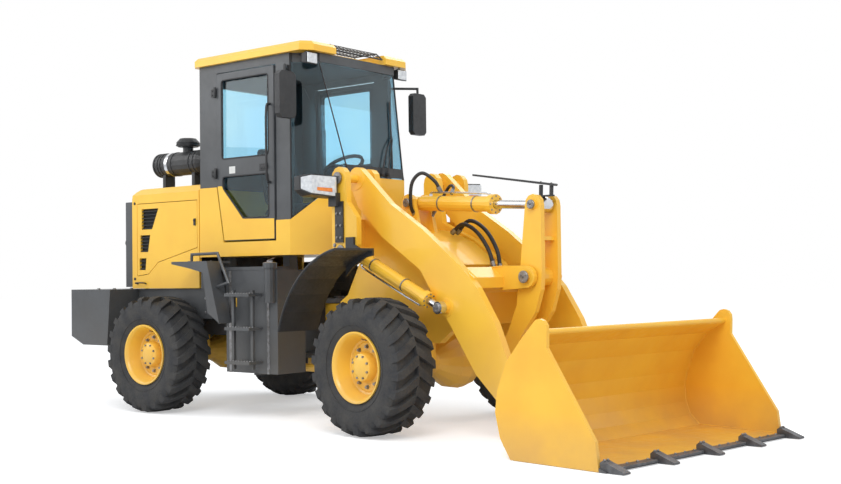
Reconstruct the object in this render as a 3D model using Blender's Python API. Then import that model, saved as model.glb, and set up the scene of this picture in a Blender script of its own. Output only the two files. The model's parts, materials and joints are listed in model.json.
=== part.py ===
"""Articulated wheel loader: one object for each real piece, metres, +Z up.

Machine coordinates: +X forward, +Y left, ground at Z = 0, steering pivot on the Z axis.
The rear frame lies along X. The front frame is drawn straight and parked a little to the right.
The machine is then shifted so that the middle of its footprint is the world origin.
"""
import math

import bmesh
import bpy
from mathutils import Matrix, Vector

# ---- driving dimensions (m, degrees) ----
PARKED_STEER = -7.76
TYRE_RADIUS = 0.5375
TYRE_WIDTH = 0.405
RIM_SEAT_RADIUS = 0.2617
RIM_FLANGE_RADIUS = 0.278
WHEEL_SIDES = 28
TRACK = 1.80
WHEELBASE = 2.95

TAIL_X = -2.78
TAIL_FRONT_X = -WHEELBASE / 2 - TYRE_RADIUS - 0.0575
TAIL_HALF_WIDTH = 1.0
DECK_TOP = 1.14
BODY_HALF_WIDTH = 0.70
HOOD_REAR_X = -2.11
HOOD_TOP = 2.12
CAB_REAR_X = -1.11
CAB_FLOOR = 1.434
CAB_SIDE_TOP = 3.21
ROOF_THICK = 0.085
ROOF_LEDGE = 0.02
SCREEN_TOP_X = 0.255
SCREEN_FOOT_X = 0.47
SHELL = 0.03

ARM_Y = 0.50
ARM_THICK = 0.06
TOWER_Y = 0.695
TOWER_THICK = 0.05
INNER_Y = 0.37
LIFT_Y = 0.60
BUCKET_HALF_WIDTH = 1.11
TOOTH_TIP_X = 4.025

# linkage pins, (x, z) in the front frame's straight coordinates
BOOM_PIN = (0.88, 2.055)
LIFT_BASE = (0.90, 1.455)
LIFT_EYE = (1.93, 0.99)
TILT_BASE = (1.06, 1.86)
CRANK_TOP = (2.47, 1.775)
CRANK_PIN = (2.43, 1.22)
CRANK_FOOT = (2.15, 0.58)
LINK_EYE = (2.70, 0.52)
BUCKET_PIN = (2.79, 0.24)

# steering cylinder pins, (x, y) on the right side
STEER_BASE = (-0.62, 0.28)
STEER_EYE = (0.40, 0.28)
STEER_Z = 0.42

SEAT_GAP = 0.0003        # between pieces that touch
PIN_GAP = 0.002          # round a pin that turns
MOVE_GAP = 0.006         # between pieces that pass each other
PIN_SIDES = 12

FRONT_AXLE_X = WHEELBASE / 2
REAR_AXLE_X = -WHEELBASE / 2
HALF_TRACK = TRACK / 2
WHEEL_INNER_Y = HALF_TRACK - TYRE_WIDTH / 2

for old in list(bpy.data.objects):
    bpy.data.objects.remove(old, do_unlink=True)


# ---- materials ----
def paint(name, colour, roughness, metallic=0.0, alpha=1.0):
    material = bpy.data.materials.new(name)
    material.use_nodes = True
    shader = material.node_tree.nodes["Principled BSDF"]
    shader.inputs["Base Color"].default_value = (*colour, 1.0)
    shader.inputs["Roughness"].default_value = roughness
    shader.inputs["Metallic"].default_value = metallic
    shader.inputs["Alpha"].default_value = alpha
    material.diffuse_color = (*colour, alpha)
    return material


YELLOW = paint("yellow_paint", (0.93, 0.50, 0.045), 0.35)
CHARCOAL = paint("charcoal_paint", (0.07, 0.075, 0.08), 0.45)
RUBBER = paint("tyre_rubber", (0.035, 0.037, 0.04), 0.85)
GLASS = paint("tinted_glass", (0.45, 0.68, 0.76), 0.05, alpha=0.35)
STEEL = paint("bare_steel", (0.55, 0.56, 0.58), 0.25, 1.0)
WEAR_STEEL = paint("wear_steel", (0.11, 0.12, 0.13), 0.5, 0.6)
PLASTIC = paint("black_plastic", (0.02, 0.021, 0.023), 0.4)
SEAT_CLOTH = paint("seat_cover", (0.03, 0.03, 0.035), 0.8)
CASTING = paint("grey_casting", (0.2, 0.2, 0.2), 0.6, 0.3)


# ---- frames ----
def empty(name, location=(0, 0, 0), turn_z=0.0, parent=None):
    item = bpy.data.objects.new(name, None)
    item.location = location
    item.rotation_euler = (0, 0, math.radians(turn_z))
    item.parent = parent
    bpy.context.collection.objects.link(item)
    return item


steer = math.radians(PARKED_STEER)
front_reach = (TOOTH_TIP_X * math.cos(steer) - BUCKET_HALF_WIDTH * math.sin(steer))
right_reach = TOOTH_TIP_X * math.sin(steer) - BUCKET_HALF_WIDTH * math.cos(steer)
left_reach = HALF_TRACK + TYRE_WIDTH / 2
MACHINE = empty("machine", (-(front_reach + TAIL_X) / 2, -(left_reach + right_reach) / 2, 0))
FRONT = empty("front_pivot", turn_z=PARKED_STEER, parent=MACHINE)


# ---- shape helpers: each returns a closed bmesh ----
def arc(centre, radius, start, end, steps):
    """Points on an arc in a 2D plane, angles in degrees."""
    points = []
    for i in range(steps + 1):
        angle = math.radians(start + (end - start) * i / steps)
        points.append((centre[0] + radius * math.cos(angle), centre[1] + radius * math.sin(angle)))
    return points


def prism(outline, low, high, plane="xz"):
    """Extrude an outline: in XZ along Y, in XY along Z, or in YZ along X."""
    lift = {"xz": lambda p, d: (p[0], d, p[1]),
            "xy": lambda p, d: (p[0], p[1], d),
            "yz": lambda p, d: (d, p[0], p[1])}[plane]
    bm = bmesh.new()
    first = [bm.verts.new(lift(p, low)) for p in outline]
    second = [bm.verts.new(lift(p, high)) for p in outline]
    bm.faces.new(first)
    bm.faces.new(second)
    for i in range(len(outline)):
        j = (i + 1) % len(outline)
        bm.faces.new((first[i], first[j], second[j], second[i]))
    bmesh.ops.recalc_face_normals(bm, faces=bm.faces)
    return bm


def box(x, y, z):
    return prism([(x[0], z[0]), (x[1], z[0]), (x[1], z[1]), (x[0], z[1])], y[0], y[1])


def turned(profile, centre, axis="y", sides=16, ring=False, phase=0.5):
    """Revolve (along, radius) pairs about an axis through centre."""
    direction = {"x": Vector((1, 0, 0)), "y": Vector((0, 1, 0)), "z": Vector((0, 0, 1))}[axis]
    first = {"x": Vector((0, 0, -1)), "y": Vector((0, 0, -1)), "z": Vector((1, 0, 0))}[axis]
    second = direction.cross(first)
    centre = Vector(centre)
    bm = bmesh.new()
    rings = []
    for along, radius in profile:
        middle = centre + direction * along
        if radius == 0:
            rings.append([bm.verts.new(middle)])
            continue
        turns = [2 * math.pi * (i + phase) / sides for i in range(sides)]
        rings.append([bm.verts.new(middle + (first * math.cos(a) + second * math.sin(a)) * radius)
                      for a in turns])
    pairs = list(zip(rings, rings[1:]))
    if ring:
        pairs.append((rings[-1], rings[0]))
    for a, b in pairs:
        for i in range(sides):
            j = (i + 1) % sides
            loop = [a[i % len(a)], a[j % len(a)], b[j % len(b)], b[i % len(b)]]
            loop = [v for k, v in enumerate(loop) if v not in loop[:k]]
            if len(loop) > 2:
                bm.faces.new(loop)
    if not ring:
        for end in (rings[0], rings[-1]):
            if len(end) > 2:
                bm.faces.new(end)
    bmesh.ops.recalc_face_normals(bm, faces=bm.faces)
    return bm


def cylinder(x, y, z, radius, axis="y", sides=PIN_SIDES):
    """A cylinder along axis, whose coordinate is a (low, high) pair."""
    spans = {"x": x, "y": y, "z": z}
    low, high = spans[axis]
    centre = [0 if name == axis else spans[name] for name in "xyz"]
    return turned([(low, radius), (high, radius)], centre, axis, sides)


def tube(points, radius, sides=8):
    """A bar that follows straight runs between points, mitred at the bends."""
    points = [Vector(p) for p in points]
    bm = bmesh.new()
    rings = []
    for i, point in enumerate(points):
        before = (point - points[i - 1]).normalized() if i else None
        after = (points[i + 1] - point).normalized() if i < len(points) - 1 else None
        tangent = ((before or after) + (after or before)).normalized()
        if i == 0:
            side = tangent.cross(Vector((0, 0, 1)) if abs(tangent.z) < 0.9 else Vector((0, 1, 0)))
        else:
            side = side - tangent * side.dot(tangent)
        side.normalize()
        up = tangent.cross(side)
        widen = 1.0
        if before and after:
            widen = 1.0 / max(0.5, tangent.dot(after))
        bend = (after - before) if before and after else Vector((0, 0, 0))
        bend = bend.normalized() if bend.length > 1e-6 else Vector((0, 0, 0))
        ring = []
        for k in range(sides):
            angle = 2 * math.pi * (k + 0.5) / sides
            offset = (side * math.cos(angle) + up * math.sin(angle)) * radius
            offset += bend * offset.dot(bend) * (widen - 1.0)
            ring.append(bm.verts.new(point + offset))
        rings.append(ring)
    for a, b in zip(rings, rings[1:]):
        for i in range(sides):
            j = (i + 1) % sides
            bm.faces.new((a[i], a[j], b[j], b[i]))
    bm.faces.new(rings[0])
    bm.faces.new(rings[-1])
    bmesh.ops.recalc_face_normals(bm, faces=bm.faces)
    return bm


def loft(rings):
    """Closed solid through rings of equal length, capped at both ends."""
    bm = bmesh.new()
    made = [[bm.verts.new(p) for p in ring] for ring in rings]
    count = len(made[0])
    for a, b in zip(made, made[1:]):
        for i in range(count):
            j = (i + 1) % count
            bm.faces.new((a[i], a[j], b[j], b[i]))
    bm.faces.new(made[0])
    bm.faces.new(made[-1])
    bmesh.ops.triangulate(bm, faces=[f for f in bm.faces if len(f.verts) == 4])
    bmesh.ops.recalc_face_normals(bm, faces=bm.faces)
    return bm


def between(start, end, profile, y, sides=16):
    """Turned solid along the line from start to end (x, z pins): profile is (distance, radius)."""
    bm = turned(profile, (0, 0, 0), "x", sides)
    angle = math.atan2(end[1] - start[1], end[0] - start[0])
    bm.transform(Matrix.Translation((start[0], y, start[1])) @ Matrix.Rotation(-angle, 4, "Y"))
    return bm


def as_object(bm, name):
    mesh = bpy.data.meshes.new(name)
    bm.to_mesh(mesh)
    bm.free()
    item = bpy.data.objects.new(name, mesh)
    bpy.context.collection.objects.link(item)
    return item


def piece(name, solids, material, cuts=(), origin=(0, 0, 0), parent=MACHINE):
    """Union the solids, cut the cuts, and hang the result from parent with its origin at origin."""
    item = as_object(solids[0], name)
    helpers = []
    steps = [(s, "UNION") for s in solids[1:]] + [(c, "DIFFERENCE") for c in cuts]
    for number, (bm, operation) in enumerate(steps):
        helper = as_object(bm, f"{name}_helper_{number}")
        helpers.append(helper)
        modifier = item.modifiers.new(f"step_{number}", "BOOLEAN")
        modifier.operation = operation
        modifier.object = helper
        modifier.solver = "EXACT"
    if steps:
        bpy.context.view_layer.update()
        graph = bpy.context.evaluated_depsgraph_get()
        mesh = bpy.data.meshes.new_from_object(item.evaluated_get(graph))
        item.modifiers.clear()
        item.data = mesh
        for helper in helpers:
            bpy.data.objects.remove(helper, do_unlink=True)
    item.data.transform(Matrix.Translation(-Vector(origin)))
    item.data.materials.clear()
    item.data.materials.append(material)
    item.data.shade_smooth()
    item.data.set_sharp_from_angle(angle=math.radians(30))
    item.location = origin
    item.parent = parent
    return item


def sided(side, y):
    """(low, high) in Y for a span given by its distances from the middle plane."""
    return tuple(sorted((side * y[0], side * y[1])))


SIDES = {"right": -1, "left": 1}


# ---- wheels ----
def wheel(name, x, side, parent):
    """Tyre and rim on the axle line; the outer face points away from the machine."""
    centre = (x, side * HALF_TRACK, TYRE_RADIUS)
    half = TYRE_WIDTH / 2
    flat = math.cos(math.pi / WHEEL_SIDES)
    seat = RIM_SEAT_RADIUS + SEAT_GAP / flat
    bead = half - 0.0425
    flange = RIM_FLANGE_RADIUS + 0.007
    # columns: distance from the tyre's middle plane, radius
    half_section = [(bead, seat), (bead, flange - 0.004), (bead + 0.02, flange), (half - 0.02, 0.33), (half, 0.405),
                    (half - 0.004, 0.475), (half - 0.035, TYRE_RADIUS / flat)]
    section = [(-a, r) for a, r in reversed(half_section)] + half_section
    piece(f"tyre_{name}", [turned(section, centre, "y", WHEEL_SIDES, ring=True)], RUBBER,
          origin=centre, parent=parent)
    # columns: distance outwards from the tyre's middle plane, radius
    rim_profile = [(0.135, 0), (0.135, 0.10), (0.118, 0.118), (0.045, 0.124), (0.03, 0.205),
                   (0.05, 0.225), (0.14, 0.243), (bead + 0.017, 0.262),
                   (bead + 0.017, RIM_FLANGE_RADIUS), (bead + SEAT_GAP, RIM_FLANGE_RADIUS),
                   (bead + SEAT_GAP, RIM_SEAT_RADIUS), (-bead - SEAT_GAP, RIM_SEAT_RADIUS),
                   (-bead - SEAT_GAP, RIM_FLANGE_RADIUS), (-bead - 0.017, RIM_FLANGE_RADIUS),
                   (-bead - 0.017, 0.25), (0.0, 0.235), (0.0, 0)]
    outwards = [(side * a, r) for a, r in rim_profile]
    piece(f"rim_{name}", [turned(outwards, centre, "y", WHEEL_SIDES)], YELLOW,
          origin=centre, parent=parent)


def axle(name, x, pad_top, pad_half_y, ball_radius, parent):
    """Beam with a differential housing, hub flanges, and two pads under the frame."""
    end = HALF_TRACK - MOVE_GAP
    half = [(0.0, ball_radius), (0.10, ball_radius * 0.93), (0.19, ball_radius * 0.66),
            (0.26, 0.10), (0.58, 0.085), (0.64, 0.13), (0.72, 0.14), (end - 0.10, 0.14),
            (end, 0.11)]
    profile = [(-a, r) for a, r in reversed(half)] + half[1:]
    solids = [turned(profile, (x, 0, TYRE_RADIUS), "y", 16)]
    for side in SIDES.values():
        solids.append(box((x - 0.11, x + 0.11), sided(side, (pad_half_y - 0.06, pad_half_y + 0.06)),
                          (TYRE_RADIUS, pad_top - SEAT_GAP)))
    piece(name, solids, YELLOW, origin=(x, 0, TYRE_RADIUS), parent=parent)


# ---- rear frame ----
RAIL_Y = (0.38, 0.46)
RAIL_BOTTOM = 0.70
FORK_Z = ((0.50, 0.54), (1.00, 1.04))
PIVOT_PIN_RADIUS = 0.05
FORK_END_RADIUS = 0.15


def rear_frame():
    skirt = WHEEL_INNER_Y - 0.0375
    solids = [box((TAIL_FRONT_X + SEAT_GAP, -0.95), (-skirt, skirt), (DECK_TOP - 0.05, DECK_TOP)),
              box((-1.0, -0.40), (-0.46, 0.46), (DECK_TOP - 0.05, DECK_TOP))]
    for side in SIDES.values():
        solids.append(box((TAIL_FRONT_X + SEAT_GAP, -0.42), sided(side, RAIL_Y),
                          (RAIL_BOTTOM, DECK_TOP - 0.01)))
        solids.append(box((TAIL_FRONT_X + SEAT_GAP, -0.99), sided(side, (skirt - 0.05, skirt)),
                          (0.86, DECK_TOP - 0.005)))
        for x in (-1.02, -0.22):
            solids.append(box((x - 0.04, x + 0.04), sided(side, (0.36, 0.46)),
                              (DECK_TOP - 0.03, CAB_FLOOR - SEAT_GAP)))
        solids.append(box((-0.70, -0.16), sided(side, (0.37, 0.45)), (DECK_TOP - 0.04, DECK_TOP + 0.04)))
        # platform under the cab door
        solids.append(box((-0.74, -0.09), sided(side, (0.44, 0.845)), (1.305, 1.335)))
        solids.append(box((-0.60, -0.54), sided(side, (0.38, 0.46)), (DECK_TOP - 0.02, 1.31)))
        # steering cylinder bracket and pin
        for z in (STEER_Z - 0.08, STEER_Z + 0.045):
            solids.append(box((STEER_BASE[0] - 0.04, STEER_BASE[0] + 0.04),
                              sided(side, (STEER_BASE[1] - 0.04, RAIL_Y[0] + 0.01)), (z, z + 0.035)))
        solids.append(box((STEER_BASE[0] - 0.04, STEER_BASE[0] + 0.04), sided(side, (RAIL_Y[0] + 0.002, RAIL_Y[1] - 0.01)),
                          (STEER_Z - 0.08, RAIL_BOTTOM + 0.01)))
        solids.append(cylinder(STEER_BASE[0], side * STEER_BASE[1], (STEER_Z - 0.06, STEER_Z + 0.06), 0.015, "z", 10))
    solids.append(box((TAIL_FRONT_X + 0.001, TAIL_FRONT_X + 0.05), (-0.60, 0.60), (0.66, DECK_TOP - 0.02)))
    solids.append(box((-0.46, -0.40), (-0.46, 0.46), (FORK_Z[0][0] + 0.01, DECK_TOP - 0.002)))
    ear = [(-0.44, 0.34), (-0.44, -0.34)] + arc((0, 0), FORK_END_RADIUS, -60, 60, 8)
    for low, high in FORK_Z:
        solids.append(prism(ear, low, high, "xy"))
    solids.append(cylinder(0, 0, (FORK_Z[0][0] - 0.02, FORK_Z[1][1] + 0.02), PIVOT_PIN_RADIUS, "z", 16))
    piece("rear_frame", solids, CHARCOAL)


def counterweight():
    # columns: x, z
    side_view = [(TAIL_FRONT_X, DECK_TOP), (TAIL_X, DECK_TOP), (TAIL_X, 0.72), (-2.50, 0.60),
                 (TAIL_FRONT_X - 0.05, 0.60)]
    corner = 0.09
    solids = [prism(side_view, -TAIL_HALF_WIDTH, TAIL_HALF_WIDTH)]
    cuts = []
    for side in SIDES.values():
        edge = side * TAIL_HALF_WIDTH
        cuts.append(prism([(TAIL_X - 0.01, edge - side * (corner + 0.01)), (TAIL_X - 0.01, edge + side * 0.01),
                           (TAIL_X + corner + 0.01, edge + side * 0.01)], 0.5, 1.3, "xy"))
    piece("counterweight", solids, CHARCOAL, cuts)


HOOD_FRONT_X = CAB_REAR_X - 0.012
HOOD_DOOR = [(-2.03, 1.97), (-1.15, 1.97), (-1.15, 1.53), (-1.72, 1.40), (-1.86, 1.29),
             (-2.03, 1.27)]


def grown(outline, gap):
    """Offset a closed outline outwards by gap, with mitred corners."""
    count = len(outline)
    area = sum(outline[i - 1][0] * outline[i][1] - outline[i][0] * outline[i - 1][1] for i in range(count))
    turn = 1 if area > 0 else -1
    result = []
    for i, (x, z) in enumerate(outline):
        normals = []
        for a, b in ((outline[i - 1], (x, z)), ((x, z), outline[(i + 1) % count])):
            dx, dz = b[0] - a[0], b[1] - a[1]
            length = math.hypot(dx, dz)
            normals.append((turn * dz / length, -turn * dx / length))
        (ax, az), (bx, bz) = normals
        scale = gap / (1 + ax * bx + az * bz)
        result.append((x + (ax + bx) * scale, z + (az + bz) * scale))
    return result


def hood():
    outer = [(HOOD_REAR_X, DECK_TOP + 0.006)] + arc((HOOD_REAR_X + 0.10, HOOD_TOP - 0.10), 0.10, 180, 90, 4)
    outer += [(HOOD_FRONT_X, HOOD_TOP), (HOOD_FRONT_X, DECK_TOP + 0.006)]
    inner = [(HOOD_REAR_X + SHELL, DECK_TOP - 0.1), (HOOD_REAR_X + SHELL, HOOD_TOP - 0.12),
             (HOOD_REAR_X + 0.12, HOOD_TOP - SHELL), (HOOD_FRONT_X + 0.1, HOOD_TOP - SHELL),
             (HOOD_FRONT_X + 0.1, DECK_TOP - 0.1)]
    cuts = [prism(inner, -BODY_HALF_WIDTH + SHELL, BODY_HALF_WIDTH - SHELL)]
    opening = grown(HOOD_DOOR, MOVE_GAP)
    for side in SIDES.values():
        low, high = sided(side, (0.5, 0.9))
        cuts.append(prism(opening, low, high))
        edge = side * BODY_HALF_WIDTH
        cuts.append(prism([(edge + side * 0.01, HOOD_TOP - 0.07), (edge + side * 0.01, HOOD_TOP + 0.01),
                           (edge - side * 0.07, HOOD_TOP + 0.01)], -2.2, -1.0, "yz"))
    cuts.append(box((HOOD_REAR_X - 0.1, HOOD_REAR_X + 0.1), (-0.56, 0.56), (1.28, 1.90)))
    piece("hood", [prism(outer, -BODY_HALF_WIDTH, BODY_HALF_WIDTH)], YELLOW, cuts)


def hood_door(name, side):
    span = sided(side, (BODY_HALF_WIDTH - SHELL + 0.002, BODY_HALF_WIDTH))
    # vents, each (left x, top right x, bottom right x, top z, bottom z)
    cuts = []
    for left, top_right, low_right, top, bottom in ((-1.965, -1.71, -1.805, 1.92, 1.72),
                                                    (-1.985, -1.835, -1.868, 1.665, 1.50),
                                                    (-2.0, -1.895, -1.908, 1.44, 1.325)):
        cuts.append(prism([(left, top), (top_right, top), (low_right, bottom), (left, bottom)],
                          *sided(side, (0.5, 0.9))))
    hinge = (HOOD_DOOR[0][0], side * (BODY_HALF_WIDTH + 0.004), 1.6)
    piece(f"hood_door_{name}", [prism(HOOD_DOOR, *span)], YELLOW, cuts, origin=hinge)


def radiator_grille():
    block = box((-2.25, HOOD_REAR_X - SEAT_GAP), (-0.67, 0.67), (DECK_TOP + 0.02, 2.0))
    recess = box((-2.3, -2.17), (-0.56, 0.56), (1.28, 1.90))
    cuts = [recess]
    for row in range(4):
        low = 1.31 + row * 0.15
        cuts.append(box((-2.3, -2.0), (-0.52, 0.52), (low, low + 0.11)))
    piece("radiator_grille", [block], CHARCOAL, cuts)


def engine_block():
    solids = [box((-1.95, -1.25), (-0.30, 0.30), (DECK_TOP + SEAT_GAP, 1.78))]
    piece("engine_block", solids, CASTING)


# ---- cab ----
SIDE_Y = 0.69
A_PILLAR_X = (-0.10, 0.07)
# door outline, columns: x, z
DOOR = [(-0.862, 3.12), (-0.118, 3.12), (-0.118, 1.578), (-0.772, 1.578), (-0.862, 2.08)]
SILL_Z = 1.745
COWL_TOP = 2.12
SCREEN_FOOT_Y = 0.375
SCREEN_TOP_Y = 0.505


def cab_plan(inset):
    """Plan of the lower cab, (x, y), pulled in by inset."""
    half = BODY_HALF_WIDTH - inset
    foot = SCREEN_FOOT_Y + 0.012 - inset * 0.4
    return [(CAB_REAR_X + inset, -half), (A_PILLAR_X[1] - inset * 0.4, -half),
            (SCREEN_FOOT_X + 0.005 - inset, -foot), (SCREEN_FOOT_X + 0.005 - inset, foot),
            (A_PILLAR_X[1] - inset * 0.4, half), (CAB_REAR_X + inset, half)]


def cab_body():
    wall = 0.04
    outer = prism(cab_plan(0), CAB_FLOOR, COWL_TOP, "xy")
    inner = prism(cab_plan(wall), CAB_FLOOR + wall, COWL_TOP + 0.1, "xy")
    above = [(-1.3, 2.075), (-0.874, 2.075), (-0.784, 1.564), (-0.1003, 1.564), (-0.1003, SILL_Z),
             (A_PILLAR_X[1] + 0.005, SILL_Z), (SCREEN_FOOT_X, COWL_TOP), (SCREEN_FOOT_X, 2.4), (-1.3, 2.4)]
    piece("cab_body", [outer], YELLOW, [inner, prism(above, -0.9, 0.9)])


def cab_frame():
    thick = 0.05
    top = CAB_SIDE_TOP
    foot = 2.075 + SEAT_GAP
    solids = [box((CAB_REAR_X, CAB_REAR_X + thick), (-SIDE_Y, SIDE_Y), (foot, top))]
    for side in SIDES.values():
        wall = sided(side, (SIDE_Y - thick, SIDE_Y))
        solids.append(box((CAB_REAR_X, -0.874), wall, (foot, top)))
        solids.append(box((CAB_REAR_X, A_PILLAR_X[1]), wall, (3.13, top)))
        solids.append(box((A_PILLAR_X[0], A_PILLAR_X[1]), wall, (SILL_Z + SEAT_GAP, top)))
        plan = [(A_PILLAR_X[1] - 0.05, side * SIDE_Y), (SCREEN_TOP_X + 0.005, side * (SCREEN_TOP_Y + 0.01)),
                (SCREEN_TOP_X - 0.045, side * (SCREEN_TOP_Y - 0.03)), (A_PILLAR_X[1] - 0.05, side * (SIDE_Y - 0.06))]
        solids.append(prism(plan, 3.13, top, "xy"))
    solids.append(box((SCREEN_TOP_X - 0.045, SCREEN_TOP_X + 0.005), (-SCREEN_TOP_Y, SCREEN_TOP_Y), (3.13, top)))
    cuts = [box((CAB_REAR_X - 0.1, CAB_REAR_X + 0.1), (-0.52, 0.52), (2.28, 3.04))]
    piece("cab_frame", solids, CHARCOAL, cuts)


def cab_roof():
    half = 0.73
    low = CAB_SIDE_TOP + SEAT_GAP
    corner = 0.05
    # plan, right half from the rear
    right = [(-1.18, 0.0), (-1.18, -half + corner), (-1.18 + corner, -half), (0.31 - 0.08, -half),
             (0.31, -half + 0.10), (0.31, 0.0)]
    plan = right + [(x, -y) for x, y in reversed(right[1:-1])]
    roof = prism(plan, low, low + ROOF_THICK, "xy")
    top = [e for e in roof.edges if all(v.co.z > low + 0.01 for v in e.verts)]
    bmesh.ops.bevel(roof, geom=top, offset=0.03, segments=1, affect="EDGES")
    notch = box((SCREEN_TOP_X - 0.05, 0.4), (-0.34, 0.34), (low - 0.1, low + 0.2))
    step = box((-0.075, 0.41), (-0.34, 0.34), (low + ROOF_LEDGE, low + 0.21))
    piece("cab_roof", [roof], YELLOW, [notch, step])


def pane(columns, thick, inward):
    """Bent pane: columns are (top, bottom) corners; inward gives each column's inner side."""
    rings = []
    for (top, bottom), step in zip(columns, inward):
        step = Vector(step) * thick
        rings.append([Vector(top), Vector(bottom), Vector(bottom) + step, Vector(top) + step])
    return loft(rings)


def windscreen():
    top = 3.13 - MOVE_GAP / 2
    x0 = A_PILLAR_X[1] + SEAT_GAP
    side_top = (x0, SIDE_Y - 0.012, top)
    side_foot = (x0, SIDE_Y - 0.012, SILL_Z + 0.012)
    crease_top = (SCREEN_TOP_X, SCREEN_TOP_Y, top)
    crease_foot = (SCREEN_FOOT_X, SCREEN_FOOT_Y, COWL_TOP + 0.008)
    right = [[(x, -y, z) for x, y, z in pair] for pair in ((side_top, side_foot), (crease_top, crease_foot))]
    left = [(crease_top, crease_foot), (side_top, side_foot)]
    inward = [(0.2, 1, 0), (-1, 0.4, 0), (-1, -0.4, 0), (0.2, -1, 0)]
    piece("windscreen", [pane(right + left, 0.010, inward)], GLASS)


def rear_window():
    gap = SEAT_GAP
    piece("rear_window", [box((CAB_REAR_X + 0.015, CAB_REAR_X + 0.023), (-0.52 + gap, 0.52 - gap),
                              (2.28 + gap, 3.04 - gap))], GLASS)


def cab_door(name, side):
    outer = BODY_HALF_WIDTH
    thick = 0.035
    span = sided(side, (outer - thick, outer))
    hinge = (DOOR[0][0] - 0.002, side * (outer + 0.006), 2.3)
    upper = [(-0.80, 2.33), (-0.19, 2.33), (-0.19, 3.055), (-0.80, 3.055)]
    lower = [(-0.79, 2.165), (-0.19, 2.165), (-0.19, 1.775), (-0.52, 1.775), (-0.79, 2.06)]
    through = sided(side, (0.5, 0.9))
    rebate = [(-0.83, 3.085), (-0.16, 3.085), (-0.16, 1.745), (-0.53, 1.745), (-0.82, 2.045)]
    pocket = sided(side, (0.5, outer - thick + 0.012))
    piece(f"cab_door_{name}", [prism(DOOR, *span)], CHARCOAL,
          [prism(upper, *through), prism(lower, *through), prism(rebate, *pocket)], origin=hinge)
    glass = [(x + math.copysign(0.001, -0.5 - x), z) for x, z in rebate]
    glass = [(x, z - 0.001 if z > 3 else z + 0.001) for x, z in glass]
    pane_span = sided(side, (outer - thick + 0.003, outer - thick + 0.012 - SEAT_GAP))
    piece(f"door_glass_{name}", [prism(glass, *pane_span)], GLASS, origin=hinge)


def seat():
    floor = CAB_FLOOR + 0.04 + SEAT_GAP
    back = [(-0.66, 1.88), (-0.78, 2.46), (-0.88, 2.44), (-0.78, 1.84)]
    solids = [box((-0.60, -0.32), (-0.17, 0.17), (floor, 1.82)),
              box((-0.74, -0.22), (-0.25, 0.25), (1.79, 1.92)),
              prism(back, -0.24, 0.24)]
    piece("operator_seat", solids, SEAT_CLOTH)


def steering_console():
    floor = CAB_FLOOR + 0.04 + SEAT_GAP
    post = [(0.14, floor), (0.36, floor), (0.36, 2.02), (0.24, 2.08), (0.16, 2.04)]
    column = between((0.20, 2.0), (0.06, 2.26), [(0, 0.035), (0.27, 0.03)], 0, 10)
    ring = turned([(-0.012, 0.175), (-0.012, 0.20), (0.012, 0.20), (0.012, 0.175)], (0, 0, 0), "x", 20, ring=True)
    spokes = prism([(-0.18, -0.02), (0.18, -0.02), (0.18, 0.02), (-0.18, 0.02)], -0.01, 0.01, "yz")
    hub = turned([(-0.03, 0.04), (0.015, 0.04)], (0, 0, 0), "x", 10)
    lean = Matrix.Translation((0.07, 0, 2.245)) @ Matrix.Rotation(math.radians(-118), 4, "Y")
    for bm in (ring, spokes, hub):
        bm.transform(lean)
    piece("steering_console", [prism(post, -0.16, 0.16), column, hub, spokes, ring], PLASTIC)


def side_tank(name, side):
    """Tank under the cab door with its ladder, handrail and filler."""
    body = box((-0.60, 0.05), sided(side, (0.50, 0.84)), (0.40, 1.305 - SEAT_GAP))
    solids = [body]
    solids.append(cylinder(-0.02, side * 0.86, (1.02, 1.33), 0.05, "z", 12))
    solids.append(cylinder(-0.02, side * 0.86, (1.32, 1.365), 0.062, "z", 12))
    for z in (1.09, 0.795, 0.50):
        solids.append(box((-0.43, -0.12), sided(side, (0.90, 1.02)), (z - 0.014, z + 0.014)))
        for x in (-0.395, -0.155):
            solids.append(box((x - 0.016, x + 0.016), sided(side, (0.835, 0.93)), (z - 0.010, z + 0.010)))
    for x in (-0.395, -0.155):
        solids.append(box((x - 0.014, x + 0.014), sided(side, (0.925, 0.953)), (0.44, 1.13)))
    piece(name, solids, CHARCOAL)


def rear_fender(name, side):
    """Bent guard in front of the rear wheel, with its flange and the step handrail on top."""
    top = box((-1.15, -0.69), sided(side, (BODY_HALF_WIDTH + MOVE_GAP, 0.99)), (1.372, 1.392))
    front = prism([(-0.70, 1.392), (-0.68, 1.392), (-0.52, 0.84), (-0.54, 0.835)], *sided(side, (0.85, 0.99)))
    flange = [(-1.16, 1.392), (-0.68, 1.392), (-0.52, 0.84), (-0.672, 0.93), (-0.735, 1.29), (-0.92, 1.33),
              (-1.16, 1.37)]
    solids = [top, front, prism(flange, *sided(side, (0.985, 1.0)))]
    rail = [(-0.95, side * 0.94, 1.38), (-0.945, side * 0.94, 1.455), (-0.60, side * 0.94, 1.46),
            (-0.46, side * 0.94, 1.20), (-0.62, side * 0.94, 1.16)]
    solids.append(tube(rail, 0.014))
    solids.append(box((-1.05, -0.99), sided(side, (0.62, 0.74)), (DECK_TOP + SEAT_GAP, 1.38)))
    piece(name, solids, CHARCOAL)


def air_cleaner():
    y, z = -0.45, 2.36
    radius = 0.115
    solids = [turned([(-1.98, 0.07), (-1.955, radius), (-1.34, radius), (-1.30, 0.08)], (0, y, z), "x", 16),
              cylinder(-1.56, y, (z, 2.54), 0.05, "z", 12),
              turned([(2.52, 0.10), (2.56, 0.115), (2.60, 0.08)], (-1.56, y, 0), "z", 16)]
    for x in (-1.85, -1.42):
        solids.append(box((x - 0.02, x + 0.02), (y - 0.06, y + 0.06), (HOOD_TOP + SEAT_GAP, z - 0.05)))
    piece("air_cleaner", solids, PLASTIC)


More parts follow.
